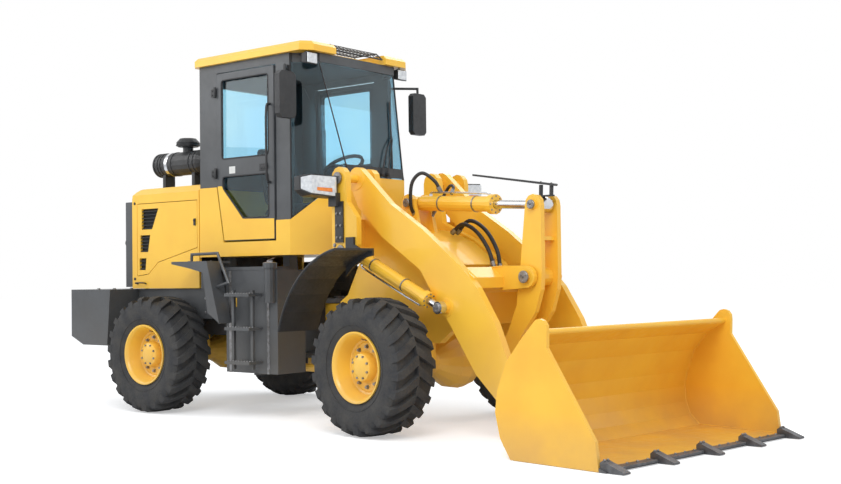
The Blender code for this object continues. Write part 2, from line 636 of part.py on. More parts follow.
def mirror(name, side):
    corner = 0.03
    outline = [(0.80, 2.60 + corner), (0.80 + corner, 2.60), (1.0 - corner, 2.60), (1.0, 2.60 + corner),
               (1.0, 3.0 - corner), (1.0 - corner, 3.0), (0.80 + corner, 3.0), (0.80, 3.0 - corner)]
    glass = prism([(side * y, z) for y, z in outline], 0.20, 0.26, "yz")
    arm = tube([(0.05, side * 0.705, 3.05), (0.23, side * 0.905, 3.052), (0.231, side * 0.907, 2.9)], 0.012)
    foot = box((0.02, 0.068), sided(side, (SIDE_Y + SEAT_GAP, SIDE_Y + 0.025)), (3.0, 3.1))
    piece(f"mirror_{name}", [arm, foot, glass], PLASTIC)


# ---- front frame ----
def front_frame():
    tongue_z = (FORK_Z[0][1] + MOVE_GAP, FORK_Z[1][0] - MOVE_GAP)
    tongue = [(0.55, 0.22), *arc((0, 0), 0.13, 90, 270, 8), (0.55, -0.22)]
    solids = [prism(tongue, *tongue_z, "xy")]
    # side plates carry the axle below and the boom tower above; columns: x, z
    inner = [(0.50, 0.48), (1.10, 0.48), (1.24, 0.70), (1.72, 0.70), (1.88, 0.82), (1.90, 1.10),
             (1.72, 1.34), (1.40, 1.54), (1.16, 1.64), (1.02, 1.70)]
    inner += arc(BOOM_PIN, 0.09, 0, 180, 6) + [(0.79, 1.40), (0.60, 1.08), (0.50, 1.02)]
    outer = [(0.785, 1.40), (1.06, 1.40), (1.10, 1.50), (1.10, 1.72), (0.98, 1.85)]
    outer += arc(BOOM_PIN, 0.095, 0, 180, 6)
    for side in SIDES.values():
        solids.append(prism(inner, *sided(side, (INNER_Y - 0.03, INNER_Y + 0.03))))
        solids.append(prism(outer, *sided(side, (TOWER_Y - TOWER_THICK / 2, TOWER_Y + TOWER_THICK / 2))))
        solids.append(cylinder(BOOM_PIN[0], sided(side, (INNER_Y, TOWER_Y + 0.035)), BOOM_PIN[1], 0.035))
        solids.append(cylinder(LIFT_BASE[0], sided(side, (INNER_Y, TOWER_Y)), LIFT_BASE[1], 0.03))
        # steering cylinder lug
        lug_z = (STEER_Z - 0.07, STEER_Z - 0.04)
        lug_y = sided(side, (STEER_EYE[1] - 0.04, STEER_EYE[1] + 0.04))
        solids.append(box((STEER_EYE[0], 0.558), lug_y, lug_z))
        solids.append(box((0.53, 0.558), lug_y, (lug_z[0] + 0.001, 0.52)))
        solids.append(cylinder(STEER_EYE[0], side * STEER_EYE[1], lug_z, 0.045, "z"))
    solids.append(box((0.50, 0.56), (-0.38, 0.38), (0.49, 1.01)))
    solids.append(box((0.787, 0.83), (-TOWER_Y, TOWER_Y), (1.405, 1.72)))
    solids.append(box((1.84, 1.88), (-0.36, 0.36), (0.84, 1.12)))
    # sloping cover between the plates
    cover = [(0.80, 1.66), (1.15, 1.62), (1.395, 1.52), (1.71, 1.325), (1.69, 1.29), (1.38, 1.48), (1.14, 1.58),
             (0.80, 1.62)]
    solids.append(prism(cover, -0.36, 0.36))
    lug = [(0.92, 1.62), (1.20, 1.60), *arc(TILT_BASE, 0.075, -10, 190, 6)]
    for side in SIDES.values():
        solids.append(prism(lug, *sided(side, (0.072, 0.11))))
    solids.append(cylinder(TILT_BASE[0], (-0.12, 0.12), TILT_BASE[1], 0.03))
    hole = cylinder(0, 0, (0.3, 1.3), PIVOT_PIN_RADIUS + MOVE_GAP, "z", 16)
    piece("front_frame", solids, YELLOW, [hole], parent=FRONT)


def front_fender(name, side):
    radius = 0.94
    centre = (FRONT_AXLE_X, TYRE_RADIUS)
    face = TOWER_Y + TOWER_THICK / 2 + SEAT_GAP
    sheet = arc(centre, radius, 164, 100, 6) + arc(centre, radius - 0.018, 100, 164, 6)
    # stay bolted to the tower's side plate, columns: x, z
    reach = centre[0] - 0.165
    stay = [(0.98, 1.56), (0.98, 1.24), (1.06, 1.31), (reach - 0.09, 1.39), (reach, 1.405), (reach, 1.445),
            (reach - 0.09, 1.435), (1.08, 1.50), (1.08, 1.56)]
    solids = [prism(sheet, *sided(side, (face + 0.004, 1.13))), prism(stay, *sided(side, (face, face + 0.02)))]
    piece(f"front_fender_{name}", solids, PLASTIC, parent=FRONT)


def headlamp(name, side):
    face = TOWER_Y + TOWER_THICK / 2
    plate = box((0.84, 0.94), sided(side, (face + SEAT_GAP, face + 0.014)), (1.52, 1.86))
    arm = box((0.80, 0.90), sided(side, (face + 0.004, face + 0.05)), (1.82, 1.93))
    lamp = loft([[(x, side * y, z) for x, z in section] for y, section in (
        (0.745, [(0.74, 1.89), (0.89, 1.89), (0.89, 2.07), (0.74, 2.07)]),
        (1.00, [(0.73, 1.90), (0.87, 1.91), (0.86, 2.08), (0.73, 2.08)]),
        (1.07, [(0.73, 1.95), (0.80, 1.95), (0.79, 2.06), (0.73, 2.06)]))])
    piece(f"headlamp_{name}", [lamp, plate, arm], PLASTIC, parent=FRONT)


# ---- boom and linkage ----
def boom():
    # arm outline, columns: x, z
    arm = arc(BOOM_PIN, 0.10, 55, 190, 6)
    arm += [(0.90, 1.82), (1.184, 1.567), (1.643, 1.285), (1.83, 1.02), (1.97, 0.856), (2.24, 0.486), (2.50, 0.26)]
    arm += arc(BUCKET_PIN, 0.085, 250, 410, 6)
    arm += [(2.62, 0.46), (2.557, 0.62), (2.437, 0.883), (2.258, 1.144), (2.086, 1.309), (1.671, 1.607),
            (1.298, 1.827)]
    solids, cuts = [], []
    for side in SIDES.values():
        span = sided(side, (ARM_Y - ARM_THICK / 2, ARM_Y + ARM_THICK / 2))
        solids.append(prism(arm, *span))
        cuts.append(cylinder(BOOM_PIN[0], sided(side, (0.4, 0.6)), BOOM_PIN[1], 0.035 + PIN_GAP))
        cuts.append(cylinder(BUCKET_PIN[0], sided(side, (0.4, 0.6)), BUCKET_PIN[1], 0.03 + PIN_GAP))
        solids.append(cylinder(LIFT_EYE[0], sided(side, (ARM_Y, LIFT_Y - 0.034)), LIFT_EYE[1], 0.045))
    beam = [(1.98, 1.14), (2.10, 1.10), (2.20, 1.14), (2.20, 1.22), (2.08, 1.30), (1.98, 1.30)]
    solids.append(prism(beam, -ARM_Y, ARM_Y))
    bracket = [(2.02, 1.13), (2.20, 1.12), *arc(CRANK_PIN, 0.085, -80, 80, 6), (2.16, 1.31), (2.02, 1.29)]
    for side in SIDES.values():
        solids.append(prism(bracket, *sided(side, (0.128, 0.165))))
    solids.append(cylinder(CRANK_PIN[0], (-0.185, 0.185), CRANK_PIN[1], 0.035))
    item = piece("boom", solids, YELLOW, cuts, origin=(BOOM_PIN[0], 0, BOOM_PIN[1]), parent=FRONT)
    return item


def bellcrank():
    # plate outline, columns: x, z
    plate = arc(CRANK_TOP, 0.08, -5, 185, 6)
    plate += [(2.335, 1.30), (2.31, 1.15), (2.29, 1.00), (2.20, 0.80), (2.09, 0.64)]
    plate += arc(CRANK_FOOT, 0.07, 170, 330, 6)
    plate += [(2.33, 0.76), (2.48, 0.95), (2.54, 1.12), (2.55, 1.25)]
    solids = []
    for side in SIDES.values():
        solids.append(prism(plate, *sided(side, (0.075, 0.118))))
    solids.append(cylinder(CRANK_PIN[0], (-0.08, 0.08), CRANK_PIN[1], 0.075, sides=16))
    solids.append(box((2.40, 2.52), (-0.08, 0.08), (1.50, 1.53)))
    solids.append(cylinder(CRANK_FOOT[0], (-0.13, 0.13), CRANK_FOOT[1], 0.028))
    for side in SIDES.values():
        solids.append(cylinder(CRANK_TOP[0], sided(side, (0.10, 0.135)), CRANK_TOP[1], 0.04))
    cuts = [cylinder(CRANK_PIN[0], (-0.3, 0.3), CRANK_PIN[1], 0.035 + PIN_GAP)]
    piece("bellcrank", solids, YELLOW, cuts, origin=(CRANK_PIN[0], 0, CRANK_PIN[1]), parent=FRONT)


def capsule(start, end, radius_a, radius_b, steps=6):
    """Outline in XZ round two pins."""
    angle = math.degrees(math.atan2(end[1] - start[1], end[0] - start[0]))
    return arc(start, radius_a, angle + 90, angle + 270, steps) + arc(end, radius_b, angle - 90, angle + 90, steps)


def bucket_link():
    solids = [prism(capsule(CRANK_FOOT, LINK_EYE, 0.055, 0.05), -0.05, 0.05)]
    cuts = [cylinder(CRANK_FOOT[0], (-0.1, 0.1), CRANK_FOOT[1], 0.028 + PIN_GAP)]
    piece("bucket_link", solids, YELLOW, cuts, origin=(CRANK_FOOT[0], 0, CRANK_FOOT[1]), parent=FRONT)


def bucket():
    side_half = BUCKET_HALF_WIDTH
    wall = 0.03
    # side plate, columns: x, z
    plate = [(3.10, 0.004), (3.84, 0.004), (3.815, 0.19), (3.43, 0.76)]
    plate += arc((3.37, 0.885), 0.065, -10, 150, 5)
    plate += [(3.20, 0.80), (3.076, 0.654), (2.99, 0.46), (2.968, 0.31), (3.01, 0.14)]
    outer = [(3.84, 0.0), (3.12, 0.0), (3.03, 0.09), (2.985, 0.20), (2.975, 0.33), (3.0, 0.46), (3.08, 0.645),
             (3.20, 0.79), (3.38, 0.875)]
    inner = [(3.385, 0.845), (3.22, 0.762), (3.105, 0.625), (3.03, 0.45), (3.006, 0.33), (3.015, 0.21),
             (3.055, 0.11), (3.14, 0.035), (3.84, 0.025)]
    solids = [prism(outer + inner, -side_half + 0.01, side_half - 0.01)]
    for side in SIDES.values():
        solids.append(prism(plate, *sided(side, (side_half - wall, side_half))))
    lug = arc(BUCKET_PIN, 0.075, 90, 270, 6) + [(3.03, 0.12), (2.995, 0.22), (2.99, 0.33),
                                                (3.005, 0.42)]
    top_lug = arc(LINK_EYE, 0.06, 80, 260, 6) + [(3.0, 0.36), (3.012, 0.45), (3.09, 0.63),
                                                  (3.105, 0.665)]
    for side in SIDES.values():
        for y in (ARM_Y - 0.065, ARM_Y + 0.065):
            solids.append(prism(lug, *sided(side, (y - 0.02, y + 0.02))))
        solids.append(cylinder(BUCKET_PIN[0], sided(side, (ARM_Y - 0.095, ARM_Y + 0.095)), BUCKET_PIN[1], 0.03))
        solids.append(prism(top_lug, *sided(side, (0.058, 0.095))))
        solids.append(cylinder(LINK_EYE[0], sided(side, (0.08, 0.11)), LINK_EYE[1], 0.035))
    piece("bucket", solids, YELLOW, origin=(BUCKET_PIN[0], 0, BUCKET_PIN[1]), parent=FRONT)


def bucket_edge():
    """Cutting edge with five teeth in front of the bucket's floor."""
    half = BUCKET_HALF_WIDTH
    lip = prism([(3.8403, 0.002), (3.90, 0.002), (3.90, 0.012), (3.8403, 0.028)], -half, half)
    solids = [lip]
    for number in range(5):
        y = -half + 0.046 + number * (2 * half - 0.092) / 4
        tooth = [(3.8406, 0.0021), (3.93, 0.001), (TOOTH_TIP_X, 0.004), (TOOTH_TIP_X, 0.016), (3.93, 0.05),
                 (3.86, 0.075), (3.8406, 0.06)]
        solids.append(prism(tooth, y - 0.035, y + 0.035))
    piece("bucket_teeth", solids, WEAR_STEEL, origin=(BUCKET_PIN[0], 0, BUCKET_PIN[1]), parent=FRONT)


def line_between(start, end):
    return math.hypot(end[0] - start[0], end[1] - start[1])


def ram(name, base, eye, y, barrel_radius, rod_radius, base_pin, eye_half, barrel_length, bore_start, tail):
    """Hydraulic cylinder in an XZ plane: barrel on its base pin, rod with an open eye."""
    length = line_between(base, eye)
    eye_radius = barrel_radius * 0.95
    head = 0.05
    barrel = between(base, eye, [(0.02, barrel_radius * 0.8), (0.08, barrel_radius),
                                 (barrel_length - head, barrel_radius), (barrel_length - head, barrel_radius * 1.28),
                                 (barrel_length, barrel_radius * 1.28)], y)
    base_eye = cylinder(base[0], (y - eye_half, y + eye_half), base[1], eye_radius, sides=16)
    bore = between(base, eye, [(bore_start, rod_radius + PIN_GAP), (length, rod_radius + PIN_GAP)], y)
    pin_hole = cylinder(base[0], (y - 0.2, y + 0.2), base[1], base_pin + PIN_GAP)
    origin = (base[0], y, base[1])
    piece(f"{name}_barrel", [barrel, base_eye], YELLOW, [bore, pin_hole], origin=origin, parent=FRONT)
    rod = between(base, eye, [(tail, rod_radius), (length - 0.01, rod_radius)], y)
    eye_disc = cylinder(eye[0], (y - eye_half, y + eye_half), eye[1], eye_radius, sides=16)
    piece(f"{name}_rod", [rod, eye_disc], STEEL, origin=origin, parent=FRONT)


def steering_ram(name, side):
    """Steering cylinder lying flat between the frames."""
    base, eye = (STEER_BASE[0], side * STEER_BASE[1]), (STEER_EYE[0], side * STEER_EYE[1])
    turn = math.radians(PARKED_STEER)
    eye_now = (eye[0] * math.cos(turn) - eye[1] * math.sin(turn), eye[0] * math.sin(turn) + eye[1] * math.cos(turn))
    length = math.hypot(eye_now[0] - base[0], eye_now[1] - base[1])
    angle = math.atan2(eye_now[1] - base[1], eye_now[0] - base[0])
    place = Matrix.Translation((base[0], base[1], STEER_Z)) @ Matrix.Rotation(angle, 4, "Z")
    barrel = turned([(0.025, 0.036), (0.62, 0.036), (0.62, 0.044), (0.66, 0.044)], (0, 0, 0), "x", 12)
    base_eye = turned([(-0.036, 0.04), (0.036, 0.04)], (0, 0, 0), "z", 12)
    pin_hole = turned([(-0.1, 0.015 + PIN_GAP), (0.1, 0.015 + PIN_GAP)], (0, 0, 0), "z", 10)
    bore = turned([(0.09, 0.022), (0.9, 0.022)], (0, 0, 0), "x", 12)
    rod = turned([(0.34, 0.020), (length, 0.020)], (0, 0, 0), "x", 12)
    eye_disc = turned([(-0.032, 0.042), (0.032, 0.042)], (length, 0, 0), "z", 12)
    for bm in (barrel, base_eye, pin_hole, bore, rod, eye_disc):
        bm.transform(place)
    origin = (base[0], base[1], STEER_Z)
    piece(f"steer_barrel_{name}", [barrel, base_eye], YELLOW, [bore, pin_hole], origin=origin)
    piece(f"steer_rod_{name}", [rod, eye_disc], STEEL, origin=origin)


def level_indicator():
    foot = CRANK_TOP[1] + 0.064 * 0.95 + SEAT_GAP
    bar = [(1.74, 2.062), (1.74, 2.047), (2.60, 1.913), (2.61, 1.922), (2.60, 1.931)]
    solids = [prism(bar, -0.02, 0.02), box((2.43, 2.575), (-0.02, 0.02), (foot, foot + 0.012))]
    for x in (2.445, 2.55):
        solids.append(prism([(x, foot + 0.005), (x + 0.016, foot + 0.005), (x + 0.020, 1.93), (x + 0.004, 1.93)],
                            -0.015, 0.015))
    piece("level_indicator", solids, PLASTIC, origin=(TILT_BASE[0], 0, TILT_BASE[1]), parent=FRONT)


def roof_guard():
    """Bowed frame that carries the mesh over the screen's top edge."""
    half, foot = 0.325, CAB_SIDE_TOP + ROOF_LEDGE + 2 * SEAT_GAP
    top = CAB_SIDE_TOP + ROOF_THICK + 0.035
    loop = [(-0.06, foot), (0.25, foot), (0.29, foot + 0.01), (0.305, foot + 0.02), (0.22, top), (-0.06, top)]
    frame = prism(loop, -half, half)
    window = box((-0.04, 0.27), (-half + 0.02, half - 0.02), (foot - 0.1, top + 0.1))
    piece("roof_guard", [frame], PLASTIC, [window])


# ---- build ----
rear_frame()
counterweight()
hood()
radiator_grille()
engine_block()
cab_body()
cab_frame()
cab_roof()
roof_guard()
windscreen()
rear_window()
seat()
steering_console()
air_cleaner()
side_tank("fuel_tank", -1)
side_tank("hydraulic_tank", 1)
axle("rear_axle", REAR_AXLE_X, RAIL_BOTTOM, 0.42, 0.20, MACHINE)
front_frame()
axle("front_axle", FRONT_AXLE_X, 0.70, INNER_Y, 0.235, FRONT)
for side_name, side_sign in SIDES.items():
    hood_door(side_name, side_sign)
    cab_door(side_name, side_sign)
    rear_fender(f"rear_fender_{side_name}", side_sign)
    mirror(side_name, side_sign)
    front_fender(side_name, side_sign)
    headlamp(side_name, side_sign)
    wheel(f"rear_{side_name}", REAR_AXLE_X, side_sign, MACHINE)
    wheel(f"front_{side_name}", FRONT_AXLE_X, side_sign, FRONT)
    ram(f"lift_{side_name}", LIFT_BASE, LIFT_EYE, side_sign * LIFT_Y, 0.052, 0.03, 0.03, 0.028, 1.0, 0.07, 0.12)
    steering_ram(side_name, side_sign)
boom()
bellcrank()
bucket_link()
bucket()
bucket_edge()
ram("tilt", TILT_BASE, CRANK_TOP, 0.0, 0.064, 0.034, 0.03, 0.056, 0.92, 0.10, 0.55)
level_indicator()
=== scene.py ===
import json
import math
import bmesh
import bpy
from mathutils import Matrix, Vector


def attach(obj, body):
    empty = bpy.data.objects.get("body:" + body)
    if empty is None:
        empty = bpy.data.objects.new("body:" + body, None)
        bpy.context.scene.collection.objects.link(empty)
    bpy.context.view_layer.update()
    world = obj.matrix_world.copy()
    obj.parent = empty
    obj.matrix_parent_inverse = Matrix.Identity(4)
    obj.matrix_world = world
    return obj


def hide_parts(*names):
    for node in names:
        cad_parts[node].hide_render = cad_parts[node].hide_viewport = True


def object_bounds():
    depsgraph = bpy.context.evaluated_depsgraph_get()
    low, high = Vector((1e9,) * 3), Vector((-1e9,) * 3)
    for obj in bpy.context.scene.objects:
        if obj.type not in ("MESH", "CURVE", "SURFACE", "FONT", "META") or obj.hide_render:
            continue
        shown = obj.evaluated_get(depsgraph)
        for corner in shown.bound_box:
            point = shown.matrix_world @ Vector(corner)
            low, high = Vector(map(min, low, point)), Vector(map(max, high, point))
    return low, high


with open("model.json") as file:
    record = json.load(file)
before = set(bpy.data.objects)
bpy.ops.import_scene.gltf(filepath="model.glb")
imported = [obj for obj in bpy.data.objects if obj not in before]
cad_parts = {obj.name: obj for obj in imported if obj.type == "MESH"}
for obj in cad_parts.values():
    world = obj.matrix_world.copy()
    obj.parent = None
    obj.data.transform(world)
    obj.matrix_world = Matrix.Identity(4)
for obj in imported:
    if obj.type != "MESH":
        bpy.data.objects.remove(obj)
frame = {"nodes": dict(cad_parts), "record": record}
cadLow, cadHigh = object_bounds()
nodes = frame["nodes"]
joints = {joint["name"]: joint for joint in frame["record"]["behaviour"]["joints"]}
print("frame loaded:", len(nodes), "nodes")

# where the two halves of the machine stand: the pivot's place, and how far the front half is turned
pivot = joints["steer"]["pos_m"]
liftAxis = joints["boom_lift"]["axis"]
rearHalf = Matrix.Translation((pivot[0], pivot[1], 0))
frontHalf = rearHalf @ Matrix.Rotation(math.atan2(-liftAxis[0], -liftAxis[1]) * -1.0, 4, "Z")
halves = {"rear": rearHalf, "front": frontHalf}
sides = {"right": -1, "left": 1}
axleX, axleZ, bucketHalfWidth, fenderRadius = 1.475, 0.5375, 1.11, 0.94


# Materials
def newMaterial(name):
    material = bpy.data.materials.new(name)
    material.use_nodes = True
    tree = material.node_tree
    return material, tree, tree.nodes["Principled BSDF"]


def addNode(tree, kind, **values):
    node = tree.nodes.new(kind)
    for key, value in values.items():
        if key in node.inputs:
            node.inputs[key].default_value = value
        else:
            setattr(node, key, value)
    return node


def noiseRamp(tree, scale, low, high, colourLow, colourHigh, detail=4.0):
    where = addNode(tree, "ShaderNodeTexCoord")
    noise = addNode(tree, "ShaderNodeTexNoise", Scale=scale, Detail=detail)
    tree.links.new(where.outputs["Object"], noise.inputs["Vector"])
    ramp = addNode(tree, "ShaderNodeValToRGB")
    ramp.color_ramp.elements[0].position, ramp.color_ramp.elements[1].position = low, high
    ramp.color_ramp.elements[0].color, ramp.color_ramp.elements[1].color = colourLow, colourHigh
    tree.links.new(noise.outputs["Fac"], ramp.inputs["Fac"])
    return ramp.outputs["Color"], noise.outputs["Fac"]


def grey(value):
    return (value, value, value, 1)


def finish(name, base, worn, patchScale=3.0, rough=(0.3, 0.45), metal=0.0, bumpScale=180.0, bump=0.04,
           coat=0.0, dust=None,
           dustTop=0.0):
    # colour drifts between base and worn in large patches, with a fine surface grain
    material, tree, shader = newMaterial(name)
    colour, patch = noiseRamp(tree, patchScale, 0.35, 0.68, (*base, 1), (*worn, 1), 6.0)
    if dust:
        where = addNode(tree, "ShaderNodeNewGeometry")
        split = addNode(tree, "ShaderNodeSeparateXYZ")
        tree.links.new(where.outputs["Position"], split.inputs["Vector"])
        height = addNode(tree, "ShaderNodeMapRange")
        height.inputs["From Min"].default_value, height.inputs["From Max"].default_value = 0.0, dustTop
        height.inputs["To Min"].default_value, height.inputs["To Max"].default_value = 0.65, 0.0
        tree.links.new(split.outputs["Z"], height.inputs["Value"])
        amount = addNode(tree, "ShaderNodeMath", operation="MULTIPLY")
        tree.links.new(height.outputs["Result"], amount.inputs[0])
        tree.links.new(patch, amount.inputs[1])
        mixer = addNode(tree, "ShaderNodeMix", data_type="RGBA")
        mixer.inputs["B"].default_value = (*dust, 1)
        tree.links.new(amount.outputs[0], mixer.inputs["Factor"])
        tree.links.new(colour, mixer.inputs["A"])
        colour = mixer.outputs["Result"]
    tree.links.new(colour, shader.inputs["Base Color"])
    roughness, _ = noiseRamp(tree, patchScale * 7, 0.3, 0.7, grey(rough[0]), grey(rough[1]))
    tree.links.new(roughness, shader.inputs["Roughness"])
    _, grain = noiseRamp(tree, bumpScale, 0.3, 0.7, grey(0), grey(1), 2.0)
    relief = addNode(tree, "ShaderNodeBump", Strength=bump, Distance=0.002)
    tree.links.new(grain, relief.inputs["Height"])
    tree.links.new(relief.outputs["Normal"], shader.inputs["Normal"])
    shader.inputs["Metallic"].default_value = metal
    shader.inputs["Coat Weight"].default_value = coat
    return material


def glassFinish(name, tint, clear, rough):
    material, tree, shader = newMaterial(name)
    colour, _ = noiseRamp(tree, 1.6, 0.3, 0.75, (*tint, 1), (tint[0] * 0.85, tint[1] * 0.93, tint[2], 1), 2.0)
    tree.links.new(colour, shader.inputs["Base Color"])
    film, _ = noiseRamp(tree, 9.0, 0.35, 0.8, grey(rough), grey(rough + 0.05), 5.0)
    tree.links.new(film, shader.inputs["Roughness"])
    shader.inputs["Transmission Weight"].default_value = clear
    shader.inputs["IOR"].default_value = 1.45
    return material


yellowPaint = finish("yellowPaint", (0.95, 0.56, 0.05), (0.91, 0.51, 0.045), rough=(0.28, 0.4), coat=0.25,
                     dust=(0.55, 0.42, 0.25), dustTop=0.9)
bucketPaint = finish("bucketPaint", (0.94, 0.54, 0.048), (0.88, 0.46, 0.04), patchScale=2.5,
                     rough=(0.32, 0.5), bump=0.08, coat=0.1, dust=(0.35, 0.28, 0.2), dustTop=0.35)
charcoalPaint = finish("charcoalPaint", (0.075, 0.08, 0.086), (0.055, 0.058, 0.062), rough=(0.35, 0.5),
                       coat=0.1, dust=(0.2, 0.18, 0.15), dustTop=1.2)
treadRubber = finish("treadRubber", (0.032, 0.033, 0.036), (0.055, 0.053, 0.05), patchScale=9,
                     rough=(0.75, 0.95), bumpScale=260, bump=0.25)
blackPlastic = finish("blackPlastic", (0.018, 0.019, 0.021), (0.03, 0.031, 0.033), patchScale=6,
                      rough=(0.35, 0.55), bumpScale=420, bump=0.12)
hoseRubber = finish("hoseRubber", (0.014, 0.014, 0.016), (0.028, 0.028, 0.03), patchScale=12,
                    rough=(0.45, 0.65), bumpScale=600, bump=0.15)
brightSteel = finish("brightSteel", (0.72, 0.73, 0.75), (0.6, 0.61, 0.64), patchScale=14, rough=(0.12, 0.24),
                     metal=1.0, bumpScale=500, bump=0.03)
boltSteel = finish("boltSteel", (0.34, 0.34, 0.35), (0.2, 0.19, 0.18), patchScale=30, rough=(0.35, 0.55),
                   metal=0.9, bumpScale=500, bump=0.08)
wearSteel = finish("wearSteel", (0.16, 0.165, 0.175), (0.09, 0.09, 0.095), patchScale=16, rough=(0.4, 0.65),
                   metal=0.6, bumpScale=240, bump=0.2)
greyCasting = finish("greyCasting", (0.14, 0.14, 0.145), (0.09, 0.09, 0.09), patchScale=10,
                     rough=(0.55, 0.75), metal=0.3, bumpScale=150, bump=0.3)
seatCover = finish("seatCover", (0.025, 0.025, 0.028), (0.045, 0.045, 0.05), patchScale=20,
                   rough=(0.55, 0.75), bumpScale=900, bump=0.35)
whiteLabel = finish("whiteLabel", (0.72, 0.72, 0.7), (0.6, 0.6, 0.57), patchScale=10, rough=(0.4, 0.5))
amberLens = finish("amberLens", (0.85, 0.25, 0.02), (0.7, 0.17, 0.01), patchScale=30, rough=(0.12, 0.2),
                   coat=0.6)
redLens = finish("redLens", (0.5, 0.02, 0.015), (0.35, 0.01, 0.01), patchScale=30, rough=(0.12, 0.2),
                 coat=0.6)
lampLens = finish("lampLens", (0.75, 0.78, 0.8), (0.55, 0.58, 0.62), patchScale=40, rough=(0.05, 0.12),
                  metal=0.4, bumpScale=120, bump=0.3, coat=0.8)
mirrorFace = finish("mirrorFace", (0.8, 0.82, 0.84), (0.74, 0.77, 0.8), patchScale=5, rough=(0.02, 0.06),
                    metal=1.0, bump=0.0)
windowGlass = glassFinish("windowGlass", (0.60, 0.84, 0.92), 1.0, 0.0)
darkMesh = finish("darkMesh", (0.012, 0.012, 0.013), (0.02, 0.02, 0.021), patchScale=10, rough=(0.6, 0.8),
                  bumpScale=300, bump=0.3)


# Shapes
def arcPoints(centre, radius, start, end, steps):
    turns = [math.radians(start + (end - start) * i / steps) for i in range(steps + 1)]
    return [(centre[0] + radius * math.cos(a), centre[1] + radius * math.sin(a)) for a in turns]


def plate(outline, low, high, plane="xz"):
    spread = {"xz": lambda p, d: (p[0], d, p[1]), "xy": lambda p, d: (p[0], p[1], d),
              "yz": lambda p, d: (d, p[0], p[1])}[plane]
    bm = bmesh.new()
    first = [bm.verts.new(spread(p, low)) for p in outline]
    second = [bm.verts.new(spread(p, high)) for p in outline]
    bm.faces.new(first)
    bm.faces.new(second)
    for i in range(len(outline)):
        j = (i + 1) % len(outline)
        bm.faces.new((first[i], first[j], second[j], second[i]))
    bmesh.ops.recalc_face_normals(bm, faces=bm.faces)
    return bm


def block(x, y, z):
    return plate([(x[0], z[0]), (x[1], z[0]), (x[1], z[1]), (x[0], z[1])], *sorted(y))


def lathe(profile, centre=(0, 0, 0), axis="y", count=48, ring=False):
    # profile rows are (distance along the axis, radius)
    direction = {"x": Vector((1, 0, 0)), "y": Vector((0, 1, 0)), "z": Vector((0, 0, 1))}[axis]
    first = {"x": Vector((0, 0, -1)), "y": Vector((0, 0, -1)), "z": Vector((1, 0, 0))}[axis]
    second = direction.cross(first)
    bm = bmesh.new()
    rings = []
    for along, radius in profile:
        middle = Vector(centre) + direction * along
        if radius == 0:
            rings.append([bm.verts.new(middle)])
        else:
            rings.append([bm.verts.new(middle + (first * math.cos(a) + second * math.sin(a)) * radius)
                          for a in (2 * math.pi * (i + 0.5) / count for i in range(count))])
    pairs = list(zip(rings, rings[1:])) + ([(rings[-1], rings[0])] if ring else [])
    for a, b in pairs:
        for i in range(count):
            j = (i + 1) % count
            loop = [a[i % len(a)], a[j % len(a)], b[j % len(b)], b[i % len(b)]]
            loop = [v for k, v in enumerate(loop) if v not in loop[:k]]
            if len(loop) > 2:
                bm.faces.new(loop)
    if not ring:
        for end in (rings[0], rings[-1]):
            if len(end) > 2:
                bm.faces.new(end)
    bmesh.ops.recalc_face_normals(bm, faces=bm.faces)
    return bm


def joinAll(parts):
    whole = bmesh.new()
    for part in parts:
        mesh = bpy.data.meshes.new("part")
        part.to_mesh(mesh)
        part.free()
        whole.from_mesh(mesh)
        bpy.data.meshes.remove(mesh)
    return whole


def place(bm, name, material, body, half="rear", bevel=0.0, angle=35):
    mesh = bpy.data.meshes.new(name)
    bm.to_mesh(mesh)
    bm.free()
    mesh.shade_smooth()
    mesh.set_sharp_from_angle(angle=math.radians(angle))
    item = bpy.data.objects.new(name, mesh)
    bpy.context.collection.objects.link(item)
    item.data.materials.append(material)
    item.matrix_world = halves[half]
    if bevel:
        rounding = item.modifiers.new("rounding", "BEVEL")
        rounding.width, rounding.segments, rounding.limit_method = bevel, 2, "ANGLE"
        rounding.harden_normals = True
    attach(item, body)
    return item


def smoothPath(points, steps=6):
    # Catmull-Rom through the points
    points = [Vector(p) for p in points]
    padded = [points[0] * 2 - points[1]] + points + [points[-1] * 2 - points[-2]]
    path = []
    for i in range(1, len(padded) - 2):
        a, b, c, d = padded[i - 1:i + 3]
        for k in range(steps):
            t = k / steps
            path.append(0.5 * (2 * b + (c - a) * t + (2 * a - 5 * b + 4 * c - d) * t * t
                               + (3 * b - 3 * c + d - a) * t ** 3))
    return path + [points[-1]]


def tubeAlong(points, radius, count=10):
    points = [Vector(p) for p in points]
    bm = bmesh.new()
    rings, across = [], None
    for i, point in enumerate(points):
        ahead = (points[min(i + 1, len(points) - 1)] - points[max(i - 1, 0)]).normalized()
        if across is None:
            across = ahead.cross(Vector((0, 0, 1)) if abs(ahead.z) < 0.9 else Vector((0, 1, 0)))
        across = (across - ahead * across.dot(ahead)).normalized()
        up = ahead.cross(across)
        rings.append([bm.verts.new(point + (across * math.cos(a) + up * math.sin(a)) * radius)
                      for a in (2 * math.pi * k / count for k in range(count))])
    for a, b in zip(rings, rings[1:]):
        for k in range(count):
            m = (k + 1) % count
            bm.faces.new((a[k], a[m], b[m], b[k]))
    bm.faces.new(rings[0])
    bm.faces.new(rings[-1])
    bmesh.ops.recalc_face_normals(bm, faces=bm.faces)
    return bm


def hexBolt(centre, axis, size, height, washer=True):
    # six-sided head on a round washer, standing out along a signed axis such as "-y"
    sign = -1 if axis[0] == "-" else 1
    name = axis[-1]
    parts = []
    if washer:
        parts.append(lathe([(0, size * 1.25), (sign * height * 0.25, size * 1.25)], centre, name, 16))
    parts.append(lathe([(0, size), (sign * height * 0.85, size), (sign * height, size * 0.85)], centre, name,
                       6))
    return joinAll(parts)


